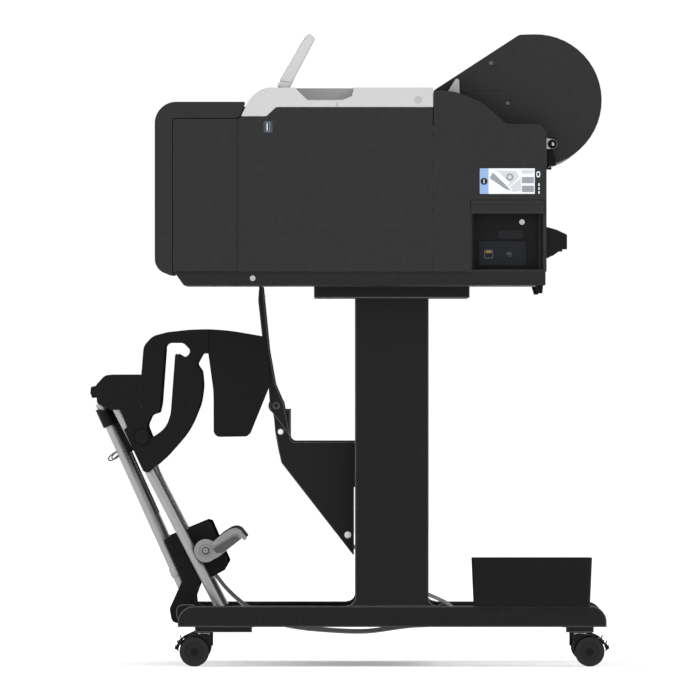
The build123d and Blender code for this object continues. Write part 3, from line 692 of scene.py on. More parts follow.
def turned(name: str, foot: Vector, axis: Vector, profile: Sequence[Point], coat: Coat,
           sides: int = 36) -> bpy.types.Object:
    """A piece turned about an axis.

    Args:
        name: the piece's name.
        foot: where the axis starts.
        axis: its direction.
        profile: (distance along the axis, radius) pairs; radius 0 closes an end.
        coat: its finish.
        sides: facets round it.

    Returns:
        The object.
    """
    axis = axis.normalized()
    across = axis.orthogonal().normalized()
    third = axis.cross(across)
    points: list[Vector] = []
    rings: list[list[int]] = []
    for along, radius in profile:
        centre = foot + axis * along
        if radius == 0:
            points.append(centre)
            rings.append([len(points) - 1] * sides)
            continue
        start = len(points)
        for i in range(sides):
            turn = 2 * math.pi * i / sides
            points.append(centre + (across * math.cos(turn) + third * math.sin(turn)) * radius)
        rings.append(list(range(start, start + sides)))
    faces = []
    for low, high in zip(rings, rings[1:]):
        for i in range(sides):
            j = (i + 1) % sides
            corners = list(dict.fromkeys((low[i], low[j], high[j], high[i])))
            if len(corners) > 2:
                faces.append(corners)
    return piece_of(name, points, faces, coat, 40)


def rod(name: str, path: Sequence[Vector], radius: float, coat: Coat, sides: int = 12,
        flat: float = 1.0) -> bpy.types.Object:
    """A bent round rod along a path, with domed ends.

    Args:
        name: the piece's name.
        path: points along its middle.
        radius: its radius.
        coat: its finish.
        sides: facets round it.
        flat: how thick it is across X, as a share of its width.

    Returns:
        The object.
    """
    points: list[Vector] = []
    faces: list[list[int]] = []
    count = len(path)
    before = Vector((1, 0, 0))
    for i, here in enumerate(path):
        along = (path[min(i + 1, count - 1)] - path[max(i - 1, 0)]).normalized()
        side = (before - along * before.dot(along))
        side = side.normalized() if side.length > 1e-6 else along.orthogonal().normalized()
        before = side
        up = along.cross(side)
        size = radius * (0.55 if i in (0, count - 1) else 1.0)
        for k in range(sides):
            turn = 2 * math.pi * k / sides
            points.append(here + side * (math.cos(turn) * size * flat) + up * (math.sin(turn) * size))
    for i in range(count - 1):
        for k in range(sides):
            j = (k + 1) % sides
            faces.append([i * sides + k, i * sides + j, (i + 1) * sides + j, (i + 1) * sides + k])
    faces.append(list(range(sides)))
    faces.append(list(range((count - 1) * sides, count * sides)))
    return piece_of(name, points, faces, coat, 50)


def softened(path: Sequence[Point], rounds: int = 3) -> list[Point]:
    """Cuts the corners of a path again and again, which leaves a smooth line.

    Args:
        path: the corners.
        rounds: how many times they are cut.

    Returns:
        The smooth line, with its ends where they were.
    """
    line = list(path)
    for _ in range(rounds):
        cut = [line[0]]
        for (a, b), (c, d) in zip(line, line[1:]):
            cut += [(a * 0.75 + c * 0.25, b * 0.75 + d * 0.25), (a * 0.25 + c * 0.75, b * 0.25 + d * 0.75)]
        line = cut + [line[-1]]
    return line


def joined(name: str, pieces: Sequence[bpy.types.Object]) -> bpy.types.Object:
    """Puts loose solids that belong together into one piece.

    Args:
        name: the name of the whole.
        pieces: its solids; they are used up.

    Returns:
        One object, each solid keeping its finish.
    """
    bpy.context.view_layer.update()
    graph = bpy.context.evaluated_depsgraph_get()
    whole = bmesh.new()
    coats: list[bpy.types.Material] = []
    for piece in pieces:
        mesh = bpy.data.meshes.new_from_object(piece.evaluated_get(graph))
        first = len(whole.faces)
        whole.from_mesh(mesh)
        whole.faces.ensure_lookup_table()
        coat = piece.data.materials[0]
        if coat not in coats:
            coats.append(coat)
        for face in whole.faces[first:]:
            face.material_index = coats.index(coat)
    mesh = bpy.data.meshes.new(name)
    whole.to_mesh(mesh)
    whole.free()
    for coat in coats:
        mesh.materials.append(coat)
    for piece in pieces:
        bpy.data.objects.remove(piece)
    made = bpy.data.objects.new(name, mesh)
    bpy.context.scene.collection.objects.link(made)
    return made


# ---------------------------------------------------------------- sub-assemblies
class SubAssembly:
    """A group of the machine's nodes, and the fine pieces that are added to them."""

    coats: dict[str, Coat] = {}

    def dress(self) -> None:
        """Gives each of this group's nodes its finish."""
        for name, coat in self.coats.items():
            node = frame["nodes"][name]
            if not node.material_slots:
                node.data.materials.append(coat.material)
            for place in node.material_slots:
                place.material = coat.material
            LOG.info("%s: %s", name, coat.value.name)

    @staticmethod
    def keep(piece: bpy.types.Object, body: str, slot: str) -> bpy.types.Object:
        """Fixes a piece to a body."""
        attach(piece, body)
        LOG.info("%s rides on %s", piece.name, body)
        return piece

    def build(self) -> None:
        """Dresses the nodes and adds the fine pieces."""
        self.dress()
        self.detail()

    def detail(self) -> None:
        """Adds the fine pieces; a plain group has none."""


@dataclass
class Studio:
    """Floor, soft lights and the camera."""

    lens: float = 1700.0
    sensor: float = 36.0
    view_width: float = 1.1725
    side_plane: float = 0.5
    aim: Point = (0.0008, 0.530)
    floor_half: float = 40.0
    lit_height: float = 0.55
    lamps: tuple[tuple[str, tuple[float, float, float], float, Point], ...] = (
        ("overhead", (0.2, 0.2, 3.4), 18, (3.2, 3.2)),
        ("right_front", (2.6, -2.9, 1.9), 28, (1.6, 2.4)),
        ("right_rear", (2.8, 2.8, 1.5), 12, (1.6, 2.2)),
        ("left_front", (-2.8, -2.8, 2.2), 20, (2.0, 2.4)),
        ("left_rear", (-2.8, 2.8, 2.2), 16, (2.0, 2.4)))
    sky: float = 1.02

    def camera(self) -> None:
        """Sets up a very long lens, square to the machine's right-hand side."""
        data = bpy.data.cameras.new("camera")
        data.lens = self.lens
        data.sensor_width = self.sensor
        data.clip_end = 400
        made = bpy.data.objects.new("camera", data)
        distance = self.lens / self.sensor * self.view_width
        made.location = (self.side_plane + distance, *self.aim)
        made.rotation_mode = "QUATERNION"
        made.rotation_quaternion = Vector((-1, 0, 0)).to_track_quat("-Z", "Y")
        bpy.context.scene.collection.objects.link(made)
        bpy.context.scene.camera = made

    def lamp(self, name: str, place: Sequence[float], power: float, size: Point) -> None:
        """Hangs one soft light that points at the middle of the machine.

        Args:
            name: the light's name.
            place: where it hangs, in metres.
            power: its power, in watts.
            size: its width and height.
        """
        data = bpy.data.lights.new(name, "AREA")
        data.shape = "RECTANGLE"
        data.size, data.size_y = size
        data.energy = power
        made = bpy.data.objects.new(name, data)
        made.location = place
        made.rotation_mode = "QUATERNION"
        made.rotation_quaternion = (Vector((0, 0, self.lit_height)) - Vector(place)).to_track_quat("-Z", "Y")
        made.visible_camera = False
        bpy.context.scene.collection.objects.link(made)

    def build(self) -> None:
        """Makes the whole studio."""
        self.camera()
        half = self.floor_half
        corners = [Vector((x, y, 0)) for x, y in ((-half, -half), (half, -half), (half, half), (-half, half))]
        floor = piece_of("studio_floor", corners, [(0, 1, 2, 3)], Coat.FLOOR)
        for lamp in self.lamps:
            self.lamp(*lamp)
        world = bpy.data.worlds.new("studio")
        world.use_nodes = True
        background = world.node_tree.nodes["Background"]
        background.inputs["Color"].default_value = (1, 1, 1, 1)
        background.inputs["Strength"].default_value = self.sky
        bpy.context.scene.world = world
        bpy.context.scene.view_settings.view_transform = "Standard"


@dataclass
class Stand(SubAssembly):
    """Feet, columns, stretchers, guide brackets and the accessory bin."""

    bolt_radius: float = 0.0055
    column_inner_face: float = 0.472
    bolt_depths: Point = (0.035, 0.105)
    bolt_heights: Point = (0.16, 0.2)
    rim_radius: float = 0.0014
    rod_end: float = 0.4358
    cross_rods: tuple[tuple[float, float, float], ...] = ((-0.1156, 0.3930, 0.0046),
                                                          (-0.0027, 0.2199, 0.0056))

    coats = {"feet": Coat.FRAME, "columns": Coat.FRAME, "stand_frame": Coat.FRAME,
             "guide_brackets": Coat.FRAME, "guide_arms": Coat.FRAME, "accessory_bin": Coat.DARK_PLASTIC,
             "stand_fasteners": Coat.FRAME}

    def detail(self) -> None:
        """Adds the bolts on the columns' inner faces, the bin's rim and the bright ends of the cross rods."""
        for hand, sign in HANDS:
            bolts = []
            for y in self.bolt_depths:
                for z in self.bolt_heights:
                    seat = Vector((sign * self.column_inner_face, y, z))
                    bolts.append(self.bolt(f"bolt_{hand}_{y}_{z}", seat, -sign))
            self.keep(joined(f"column_bolts_{hand}", bolts), ROOT, "zinc_steel")
            ends = []
            for i, (y, z, radius) in enumerate(self.cross_rods):
                dome = [(0, 0), (0, radius), (0.0006, radius), (0.0014, radius * 0.8),
                        (0.0018, radius * 0.4), (0.0018, 0)]
                seat = Vector((sign * self.rod_end, y, z))
                ends.append(turned(f"rod_end_{hand}_{i}", seat, Vector((sign, 0, 0)), dome, Coat.BRIGHT, 28))
            self.keep(joined(f"cross_rod_ends_{hand}", ends), ROOT, "zinc_steel")
        lo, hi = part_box("accessory_bin")
        loop = rounded_box(lo[1] + 0.0015, hi[1] - 0.0015, lo[0] + 0.0015, hi[0] - 0.0015, 0.009)
        path = [Vector((x, y, hi[2] - 0.0004)) for y, x in loop + loop[:2]]
        self.keep(rod("bin_rim", path, self.rim_radius, Coat.DARK_PLASTIC), ROOT, "stacker_black")

    def bolt(self, name: str, seat: Vector, way: int) -> bpy.types.Object:
        """One pan-head bolt on a side face."""
        radius = self.bolt_radius
        profile = [(0, 0), (0, radius), (0.0012, radius), (0.0024, radius * 0.8), (0.0028, radius * 0.5),
                   (0.0028, radius * 0.42), (0.0012, radius * 0.42), (0.0012, 0)]
        return turned(name, seat, Vector((way, 0, 0)), profile, Coat.ZINC, 20)


@dataclass
class Casters(SubAssembly):
    """Four twin-wheel casters with their brake pedals."""

    collar: tuple[float, float] = (0.0536, 0.0571)
    collar_radius: float = 0.0094
    wheel_face: float = 0.0208

    coats = {f"caster_housing_{c}": Coat.DARK_PLASTIC for c in CASTERS}
    coats |= {f"caster_wheels_{c}": Coat.TYRE for c in CASTERS}
    coats |= {f"caster_brake_{c}": Coat.DARK_PLASTIC for c in CASTERS}

    def detail(self) -> None:
        """Adds the swivel collar and the wheels' axle caps."""
        pivots = {j["child"]: Vector(j["pos_m"]) for j in frame["joints"] if "pos_m" in j and j.get("child")}
        for corner in CASTERS:
            stem = pivots[f"caster_{corner}"]
            axle = pivots[f"wheels_{corner}"]
            z0, z1 = self.collar
            tall, r = z1 - z0, self.collar_radius
            profile = [(0, 0.0082), (0, r), (0.0008, r + 0.0006), (tall - 0.0008, r + 0.0006), (tall, r),
                       (tall, 0.0082)]
            ring = turned(f"caster_collar_{corner}", Vector((stem.x, stem.y, z0)), Vector((0, 0, 1)), profile,
                          Coat.ZINC)
            self.keep(ring, f"caster_{corner}", "zinc_steel")
            caps = []
            for side in (1, -1):
                way = Vector((side, 0, 0))
                cap = [(0, 0.0066), (0.0008, 0.0062), (0.0011, 0.005), (0.0007, 0.0035), (0.0009, 0)]
                caps.append(turned(f"cap_{corner}_{side}", axle + way * self.wheel_face, way, cap,
                                   Coat.DARK_PLASTIC, 28))
            self.keep(joined(f"axle_caps_{corner}", caps), f"wheels_{corner}", "stacker_black")


@dataclass
class LoadingLabel(SubAssembly):
    """Printed label that shows how the roll goes in, drawn with plain shapes and no lettering."""

    face: float = 0.6445
    front: float = 0.2167
    rear: float = 0.3214
    low: float = 0.7896
    high: float = 0.8349
    blue_edge: float = 0.2323
    white_edge: float = 0.3095
    film: float = 0.00025

    def layer(self, name: str, side: Sequence[Point], level: int, coat: Coat) -> bpy.types.Object:
        """One printed shape; a higher level lies over a lower one."""
        start = self.face + self.film * 0.2
        return prism(name, side, start, start + self.film * (1 + 0.35 * level), coat)

    def detail(self) -> None:
        """Prints the label's shapes one over another."""
        y0, y1, z0, z1 = self.blue_edge, self.white_edge, self.low + 0.0012, self.high - 0.0015
        wide, tall = y1 - y0, z1 - z0

        def spot(u: float, v: float) -> Point:
            """A point of the picture, from 0 to 1 each way."""
            return y0 + u * wide, z0 + v * tall

        def bar(v0: float, v1: float) -> list[Point]:
            """A bar down the picture's right-hand edge."""
            return rounded_box(spot(0.72, 0)[0], spot(0.98, 0)[0], z0 + tall * v0, z0 + tall * v1, 0.0012)

        shapes = [
            (rounded_box(self.front, self.rear, self.low, self.high, 0.0028), 0, Coat.LABEL_BLACK),
            (rounded_box(self.front + 0.0009, y0, z0, z1, 0.0011), 1, Coat.LABEL_BLUE),
            (circle(0.2247, 0.8118, 0.0059), 2, Coat.LABEL_BLACK),
            (rounded_box(0.2240, 0.2254, 0.8085, 0.8151, 0.0006), 3, Coat.LABEL_WHITE),
            ([spot(0, 0), spot(1, 0), spot(1, 1), spot(0, 1)], 1, Coat.LABEL_WHITE),
            ([spot(0.02, 0.62), spot(0.09, 0.84), spot(0.40, 0.30), spot(0.48, 0.12), spot(0.36, 0.20)], 2,
             Coat.LABEL_GREY),
            ([spot(0.14, 0.92), spot(0.60, 0.90), spot(0.66, 0.66), spot(0.46, 0.30), spot(0.28, 0.62)], 2,
             Coat.LABEL_MID),
            ([spot(0.12, 0.86), spot(0.20, 0.90), spot(0.47, 0.42), spot(0.42, 0.34)], 3, Coat.LABEL_WHITE),
            (circle(*spot(0.46, 0.66), 0.0062, 24), 3, Coat.LABEL_GREY),
            (circle(*spot(0.46, 0.66), 0.0032, 20), 4, Coat.LABEL_MID),
            ([spot(0.48, 0.28), spot(0.70, 0.62), spot(0.70, 0.12), spot(0.52, 0.08)], 2, Coat.LABEL_MID),
            (bar(0.80, 0.93), 2, Coat.LABEL_MID),
            (bar(0.42, 0.66), 2, Coat.LABEL_GREY),
            (bar(0.07, 0.32), 2, Coat.LABEL_GREY),
            (rounded_box(0.3122, 0.3184, 0.8185, 0.8285, 0.0026), 2, Coat.LABEL_WHITE),
            (rounded_box(0.3136, 0.3170, 0.8205, 0.8265, 0.0014), 3, Coat.LABEL_BLACK),
        ]
        for i in range(3):
            z = 0.8085 - 0.0065 * i
            shapes.append((rounded_box(0.3155, 0.3175, z - 0.0045, z, 0.0007), 2, Coat.LABEL_WHITE))
        layers = [self.layer(f"label_{i}", *shape) for i, shape in enumerate(shapes)]
        self.keep(joined("loading_label", layers), ROOT, "port_plate")


@dataclass
class Housing(SubAssembly):
    """Outer covers, their sockets, screws and vents."""

    face: float = 0.6445
    jack_face: float = 0.6200
    jack: Point = (0.267, 0.690)
    socket: tuple[float, float, float, float] = (0.2252, 0.2398, 0.6832, 0.6973)
    shield: float = 0.0011
    port_face: float = 0.6440
    port: tuple[float, float, float, float] = (-0.1386, -0.1336, 0.8955, 0.9100)
    pivot: Point = (0.1147, 0.9477)
    vent_middle: float = 0.36
    vent_half: float = 0.09
    vent_foot: float = 0.705
    vent_pitch: float = 0.011
    cover_screws: tuple[float, ...] = (-0.56, -0.28, 0.0, 0.28, 0.56)
    cover_screw_heights: Point = (0.675, 0.832)
    rib_count: int = 15
    rib_pitch: float = 0.06
    rib_radius: float = 0.0016

    coats = {"base_chassis": Coat.CHASSIS, "side_cover_right": Coat.HOUSING, "side_cover_left": Coat.HOUSING,
             "rear_side_covers": Coat.REAR_SIDE, "ink_bays": Coat.HOUSING, "front_cover": Coat.HOUSING,
             "rear_cover": Coat.HOUSING, "roll_cradle": Coat.HOUSING, "top_cap_right": Coat.CAP,
             "top_cap_left": Coat.CAP, "rear_handles": Coat.DARK_PLASTIC, "connector_panels": Coat.PORT,
             "housing_screws": Coat.ZINC, "side_frames": Coat.ZINC, "top_cover": Coat.CAP,
             "top_cover_window": Coat.WINDOW, "ink_door_right": Coat.HOUSING, "ink_door_left": Coat.HOUSING,
             "release_lever": Coat.LEVER}

    def detail(self) -> None:
        """Adds the sockets, the vents and the small marks on the covers."""
        self.network_socket()
        self.power_jack()
        self.front_port()
        self.cap_marks()
        self.cover_pivots()
        self.rear_trims()
        self.rear_vents()
        self.output_ribs()

    def network_socket(self) -> None:
        """Shielded socket with its eight contacts."""
        y0, y1, z0, z1 = self.socket
        wall = self.shield
        x0, x1 = self.jack_face - 0.0022, self.jack_face + 0.0005
        sides = [rounded_box(y0, y1, z1 - wall, z1, 0.0003, 2), rounded_box(y0, y1, z0, z0 + wall, 0.0003, 2),
                 rounded_box(y0, y0 + wall, z0, z1, 0.0003, 2), rounded_box(y1 - wall, y1, z0, z1, 0.0003, 2)]
        parts = [prism(f"shield_{i}", side, x0, x1, Coat.PORT_RIM) for i, side in enumerate(sides)]
        parts.append(prism("socket_back", rounded_box(y0 + wall, y1 - wall, z0 + wall, z1 - wall, 0.0004),
                           x0 - 0.0006, x0 + 0.0002, Coat.LABEL_BLACK))
        for i in range(8):
            y = y0 + 0.0030 + i * 0.00122
            strip = rounded_box(y - 0.0003, y + 0.0003, z1 - 0.0052, z1 - wall, 0.0001, 2)
            parts.append(prism(f"contact_{i}", strip, x0, x0 + 0.0009, Coat.GOLD))
        self.keep(joined("network_socket", parts), ROOT, "zinc_steel")

    def power_jack(self) -> None:
        """Round jack: a metal ring with a pin in it."""
        centre = Vector((self.jack_face - 0.0020, *self.jack))
        way = Vector((1, 0, 0))
        ring = [(0, 0.0031), (0, 0.0042), (0.0024, 0.0042), (0.0028, 0.0039), (0.0028, 0.0033),
                (0.0006, 0.0031)]
        floor = [(0, 0), (0, 0.0031), (0.0003, 0.0031), (0.0003, 0)]
        pin = [(0, 0), (0, 0.0011), (0.0019, 0.0011), (0.0024, 0.0006), (0.0025, 0)]
        parts = [turned("jack_ring", centre, way, ring, Coat.PORT_RIM, 28),
                 turned("jack_floor", centre, way, floor, Coat.LABEL_BLACK, 28),
                 turned("jack_pin", centre, way, pin, Coat.ZINC, 16)]
        self.keep(joined("signal_jack", parts), ROOT, "zinc_steel")

    def front_port(self) -> None:
        """Memory stick port beside the top cap's step."""
        y0, y1, z0, z1 = self.port
        x0, x1 = self.port_face - 0.0024, self.port_face - 0.0003
        wall = 0.0005
        plate = prism("port_face", rounded_box(-0.1438, -0.1283, 0.8929, 0.9126, 0.0012),
                      self.port_face - 0.0004, self.port_face + 0.0001, Coat.USB_PLATE)
        hollow = prism("port_well", rounded_box(y0, y1, z0, z1, 0.0005), self.port_face - 0.0001,
                       self.port_face + 0.0003, Coat.LABEL_BLACK)
        frame_side = rounded_box(y0 - wall, y1 + wall, z0 - wall, z1 + wall, 0.0008)
        shell = prism("port_shell", frame_side, x1, self.port_face + 0.0002, Coat.ZINC)
        tongue = prism("port_tongue", rounded_box(y0 + 0.0007, y0 + 0.0021, z0 + 0.0015, z1 - 0.0015, 0.0003),
                       x0, self.port_face + 0.0006, Coat.LABEL_WHITE)
        self.keep(joined("memory_stick_port", [plate, shell, hollow, tongue]), ROOT, "port_plate")

    def cap_marks(self) -> None:
        """Small alignment mark at each cap's foot."""
        for hand, sign in HANDS:
            x0, x1 = sorted((sign * (self.face - 0.0006), sign * (self.face + 0.00015)))
            mark = prism(f"cap_mark_{hand}", rounded_box(-0.0215, -0.0195, 0.9365, 0.9440, 0.0004, 3), x0, x1,
                         Coat.LABEL_GREY)
            self.keep(mark, ROOT, "port_plate")

    def cover_pivots(self) -> None:
        """Screws in both caps that carry the top cover's pivots."""
        for hand, sign in HANDS:
            seat = Vector((sign * (self.face - 0.0008), *self.pivot))
            head = [(0, 0), (0, 0.0052), (0.0010, 0.0050), (0.0014, 0.0042), (0.0014, 0.0022),
                    (0.0008, 0.0019), (0.0008, 0)]
            screw = turned(f"cover_pivot_{hand}", seat, Vector((sign, 0, 0)), head, Coat.LOCK, 28)
            self.keep(screw, ROOT, "zinc_steel")

    def rear_trims(self) -> None:
        """Upright trim pieces that close the gap between the rear side covers and the roll cover."""
        side = [(0.322, 0.838), (0.345, 0.838), (0.345, 0.852), (0.3385, 0.8635), (0.322, 0.8635)]
        for hand, sign in HANDS:
            x0, x1 = sorted((sign * 0.6032, sign * 0.6056))
            trim = prism(f"rear_trim_{hand}", side, x0, x1, Coat.DARK_PLASTIC, 0.0006)
            self.keep(trim, ROOT, "housing_black")

    def rear_vents(self) -> None:
        """Two banks of louvres on the rear cover."""
        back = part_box("rear_cover")[1][1]
        parts = []
        for centre in (-self.vent_middle, self.vent_middle):
            for i in range(9):
                z = self.vent_foot + self.vent_pitch * i
                side = [(back - 0.0006, z), (back + 0.0028, z + 0.0004), (back + 0.0028, z + 0.0022),
                        (back - 0.0006, z + 0.0058)]
                x0, x1 = centre - self.vent_half, centre + self.vent_half
                parts.append(prism(f"louvre_{centre}_{i}", side, x0, x1, Coat.HOUSING, 0.0004))
        self.keep(joined("rear_louvres", parts), ROOT, "housing_black")
        screws = []
        for x in self.cover_screws:
            for z in self.cover_screw_heights:
                seat = Vector((x, back - 0.0003, z))
                profile = [(0, 0.0042), (0.0010, 0.0042), (0.0018, 0.0032), (0.0018, 0.0016),
                           (0.0008, 0.0015), (0.0008, 0)]
                screws.append(turned(f"rear_screw_{x}_{z}", seat, Vector((0, 1, 0)), profile, Coat.ZINC, 20))
        self.keep(joined("rear_cover_screws", screws), ROOT, "zinc_steel")

    def output_ribs(self) -> None:
        """Low ribs down the front cover that carry the print into the basket."""
        slope = [(-0.140, 0.8805), (-0.196, 0.8690), (-0.238, 0.8460), (-0.2595, 0.8060), (-0.2635, 0.7700)]
        path = softened(slope, 2)
        first = -self.rib_pitch * (self.rib_count - 1) / 2
        ribs = []
        for i in range(self.rib_count):
            line = [Vector((first + self.rib_pitch * i, y, z)) for y, z in path]
            ribs.append(rod(f"rib_{i}", line, self.rib_radius, Coat.HOUSING, 8))
        self.keep(joined("output_ribs", ribs), ROOT, "housing_black")


@dataclass
class ControlPanel(SubAssembly):
    """Tilting operation panel with its screen, keys and power button."""

    body: str = "panel"
    lean: Point = (0.505, 0.863)
    root: Point = (-0.121, 0.9715)
    bezel_x: Point = (0.488, 0.598)
    bezel_up: Point = (0.010, 0.096)
    bezel_width: float = 0.0035
    key_x: Point = (0.606, 0.620)
    key_foot: float = 0.016
    key_pitch: float = 0.017
    sunk: float = 0.0003

    coats = {"operation_panel": Coat.PANEL, "panel_screen": Coat.SCREEN, "power_button": Coat.PANEL}

    def spot(self, up: float, back: float) -> Point:
        """A point of the panel's side, from its lower front edge."""
        ay, az = self.lean
        return self.root[0] + ay * up + az * back, self.root[1] + az * up - ay * back

    def raised(self, low: float, high: float, proud: float) -> list[Point]:
        """Side of a flat piece on the panel's front.

        Args:
            low: its lower edge, up the panel.
            high: its upper edge.
            proud: how far it stands out.

        Returns:
            Its corners.
        """
        return [self.spot(low, self.sunk), self.spot(high, self.sunk), self.spot(high, -proud),
                self.spot(low, -proud)]

    def detail(self) -> None:
        """Adds the screen's bezel, a row of keys and the status bar."""
        left, right = self.bezel_x
        low, high = self.bezel_up
        wide = self.bezel_width
        bars = [((low, low + wide), self.bezel_x), ((high - wide, high), self.bezel_x),
                ((low + wide, high - wide), (left, left + wide)),
                ((low + wide, high - wide), (right - wide, right))]
        parts = [prism(f"bezel_{i}", self.raised(*span, 0.0007), *across, Coat.DARK_PLASTIC, 0.0003)
                 for i, (span, across) in enumerate(bars)]
        for i in range(3):
            foot = self.key_foot + self.key_pitch * i
            parts.append(prism(f"key_{i}", self.raised(foot, foot + 0.010, 0.0009), *self.key_x, Coat.LEVER,
                               0.0006))
        parts.append(prism("status_bar", self.raised(0.004, 0.0062, 0.0006), 0.50, 0.586, Coat.STATUS,
                           0.0003))
        self.keep(joined("panel_keys", parts), self.body, "panel_grey")
        lower, upper = self.spot(0.0003, 0.0160), self.spot(0.0220, 0.0158)
        seam = [self.spot(0.0105, 0.0003), self.spot(0.0165, 0.0150), self.spot(0.0148, 0.0152),
                self.spot(0.0088, 0.0005)]
        mark = prism("panel_step", seam, 0.6316, 0.63215, Coat.LABEL_GREY)
        self.keep(mark, self.body, "panel_grey")
        rear = [lower, upper, self.spot(0.0216, 0.0186), self.spot(0.0020, 0.0192)]
        self.keep(prism("panel_hinge_cover", rear, 0.500, 0.614, Coat.LEVER, 0.0006), self.body, "panel_grey")


@dataclass
class RollUnit(SubAssembly):
    """Roll cover, spindle and paper roll."""

    side: float = 0.6000
    hinge: Point = (0.3392, 0.8742)
    hinge_face: float = 0.6056
    screws: tuple[Point, ...] = ((0.2368, 1.0100), (0.2641, 0.9425))
    spindle: Point = (0.3112, 0.9475)
    flange_face: float = 0.4685

    coats = {"roll_cover": Coat.HOUSING, "roll_spindle": Coat.DARK_PLASTIC, "paper_roll": Coat.PAPER}

    def detail(self) -> None:
        """Adds the recessed screws, each in a black ring of painted recess shade, and the bright hinge bolts
        on both ends of the cover.
        """
        screws, bolts = [], []
        for sign in (1, -1):
            way = Vector((sign, 0, 0))
            for y, z in self.screws:
                face = Vector((sign * (self.side - 0.0003), y, z))
                # painted shade: a black ring stands for the shade in each screw's recess
                ring = [(0, 0.0052), (0, 0.0074), (0.0008, 0.0072), (0.0009, 0.0062), (0.0003, 0.0052)]
                screws.append(turned(f"screw_recess_shade_{sign}_{z}", face, way, ring, Coat.LABEL_BLACK, 32))
                head = [(0, 0), (0, 0.0036), (0.0009, 0.0034), (0.0014, 0.0022), (0.0014, 0.0012),
                        (0.0006, 0.0010), (0.0006, 0)]
                screws.append(turned(f"screw_head_{sign}_{z}", face, way, head, Coat.PORT_RIM, 24))
            seat = Vector((sign * self.hinge_face, *self.hinge))
            plate = [(-0.0006, 0), (-0.0006, 0.0078), (0.0002, 0.0076), (0.0004, 0.0060), (0.0004, 0)]
            bolts.append(turned(f"hinge_washer_{sign}", seat, way, plate, Coat.DARK_PLASTIC, 32))
            dome = [(0, 0), (0, 0.0034), (0.0010, 0.0032), (0.0018, 0.0024), (0.0022, 0.0011),
                    (0.0016, 0.0008), (0.0016, 0)]
            bolts.append(turned(f"hinge_bolt_{sign}", seat, way, dome, Coat.ZINC, 28))
        self.keep(joined("roll_cover_screws", screws), "roll_hood", "stacker_black")
        self.keep(joined("roll_hinge_bolts", bolts), "roll_hood", "zinc_steel")
        self.flange_rings()

    def flange_rings(self) -> None:
        """Rings on the flanges of the spindle that grip the paper core."""
        parts = []
        for sign in (1, -1):
            seat = Vector((sign * self.flange_face, *self.spindle))
            ring = [(0, 0.030), (0, 0.060), (0.0015, 0.059), (0.0022, 0.054), (0.0010, 0.034),
                    (0.0022, 0.030)]
            parts.append(turned(f"flange_ring_{sign}", seat, Vector((sign, 0, 0)), ring, Coat.LEVER, 48))
        self.keep(joined("spindle_flange_rings", parts), "roll", "lever_grey")


@dataclass
class Mechanism(SubAssembly):
    """Platen, rollers, rail, carriage, drive and ink."""

    tanks: tuple[tuple[float, Coat], ...] = (
        (0.480, Coat.CYAN), (0.533, Coat.MAGENTA), (0.586, Coat.YELLOW), (-0.526, Coat.LABEL_GREY),
        (-0.579, Coat.LABEL_BLACK))

    coats = {"platen": Coat.HOUSING, "carriage_rail": Coat.RAIL, "carriage_drive": Coat.ROLLER,
             "ink_tanks": Coat.INK, "maintenance_cartridge": Coat.INK, "feed_roller": Coat.ROLLER,
             "pinch_rollers": Coat.ROLLER, "carriage": Coat.INK}

    def detail(self) -> None:
        """Adds the colour patches on the fronts of the ink tanks."""
        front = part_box("ink_tanks")[0][1]
        patches = []
        for x0, coat in self.tanks:
            side = rounded_box(front - 0.0004, front + 0.0006, 0.742, 0.842, 0.0002, 2)
            patches.append(prism(f"patch_{coat.name}", side, x0 + 0.008, x0 + 0.038, coat))
            grip = [(front + 0.001, 0.710), (front - 0.006, 0.713), (front - 0.006, 0.722),
                    (front + 0.001, 0.730)]
            patches.append(prism(f"grip_{coat.name}", grip, x0 + 0.010, x0 + 0.036, Coat.INK, 0.001))
        self.keep(joined("ink_tank_fronts", patches), ROOT, "ink_plastic")
        label = prism("carriage_label", rounded_box(-0.030, 0.020, 0.9345, 0.9362, 0.0006, 3), 0.490, 0.550,
                      Coat.LABEL_MID)
        self.keep(label, "print_carriage", "ink_plastic")


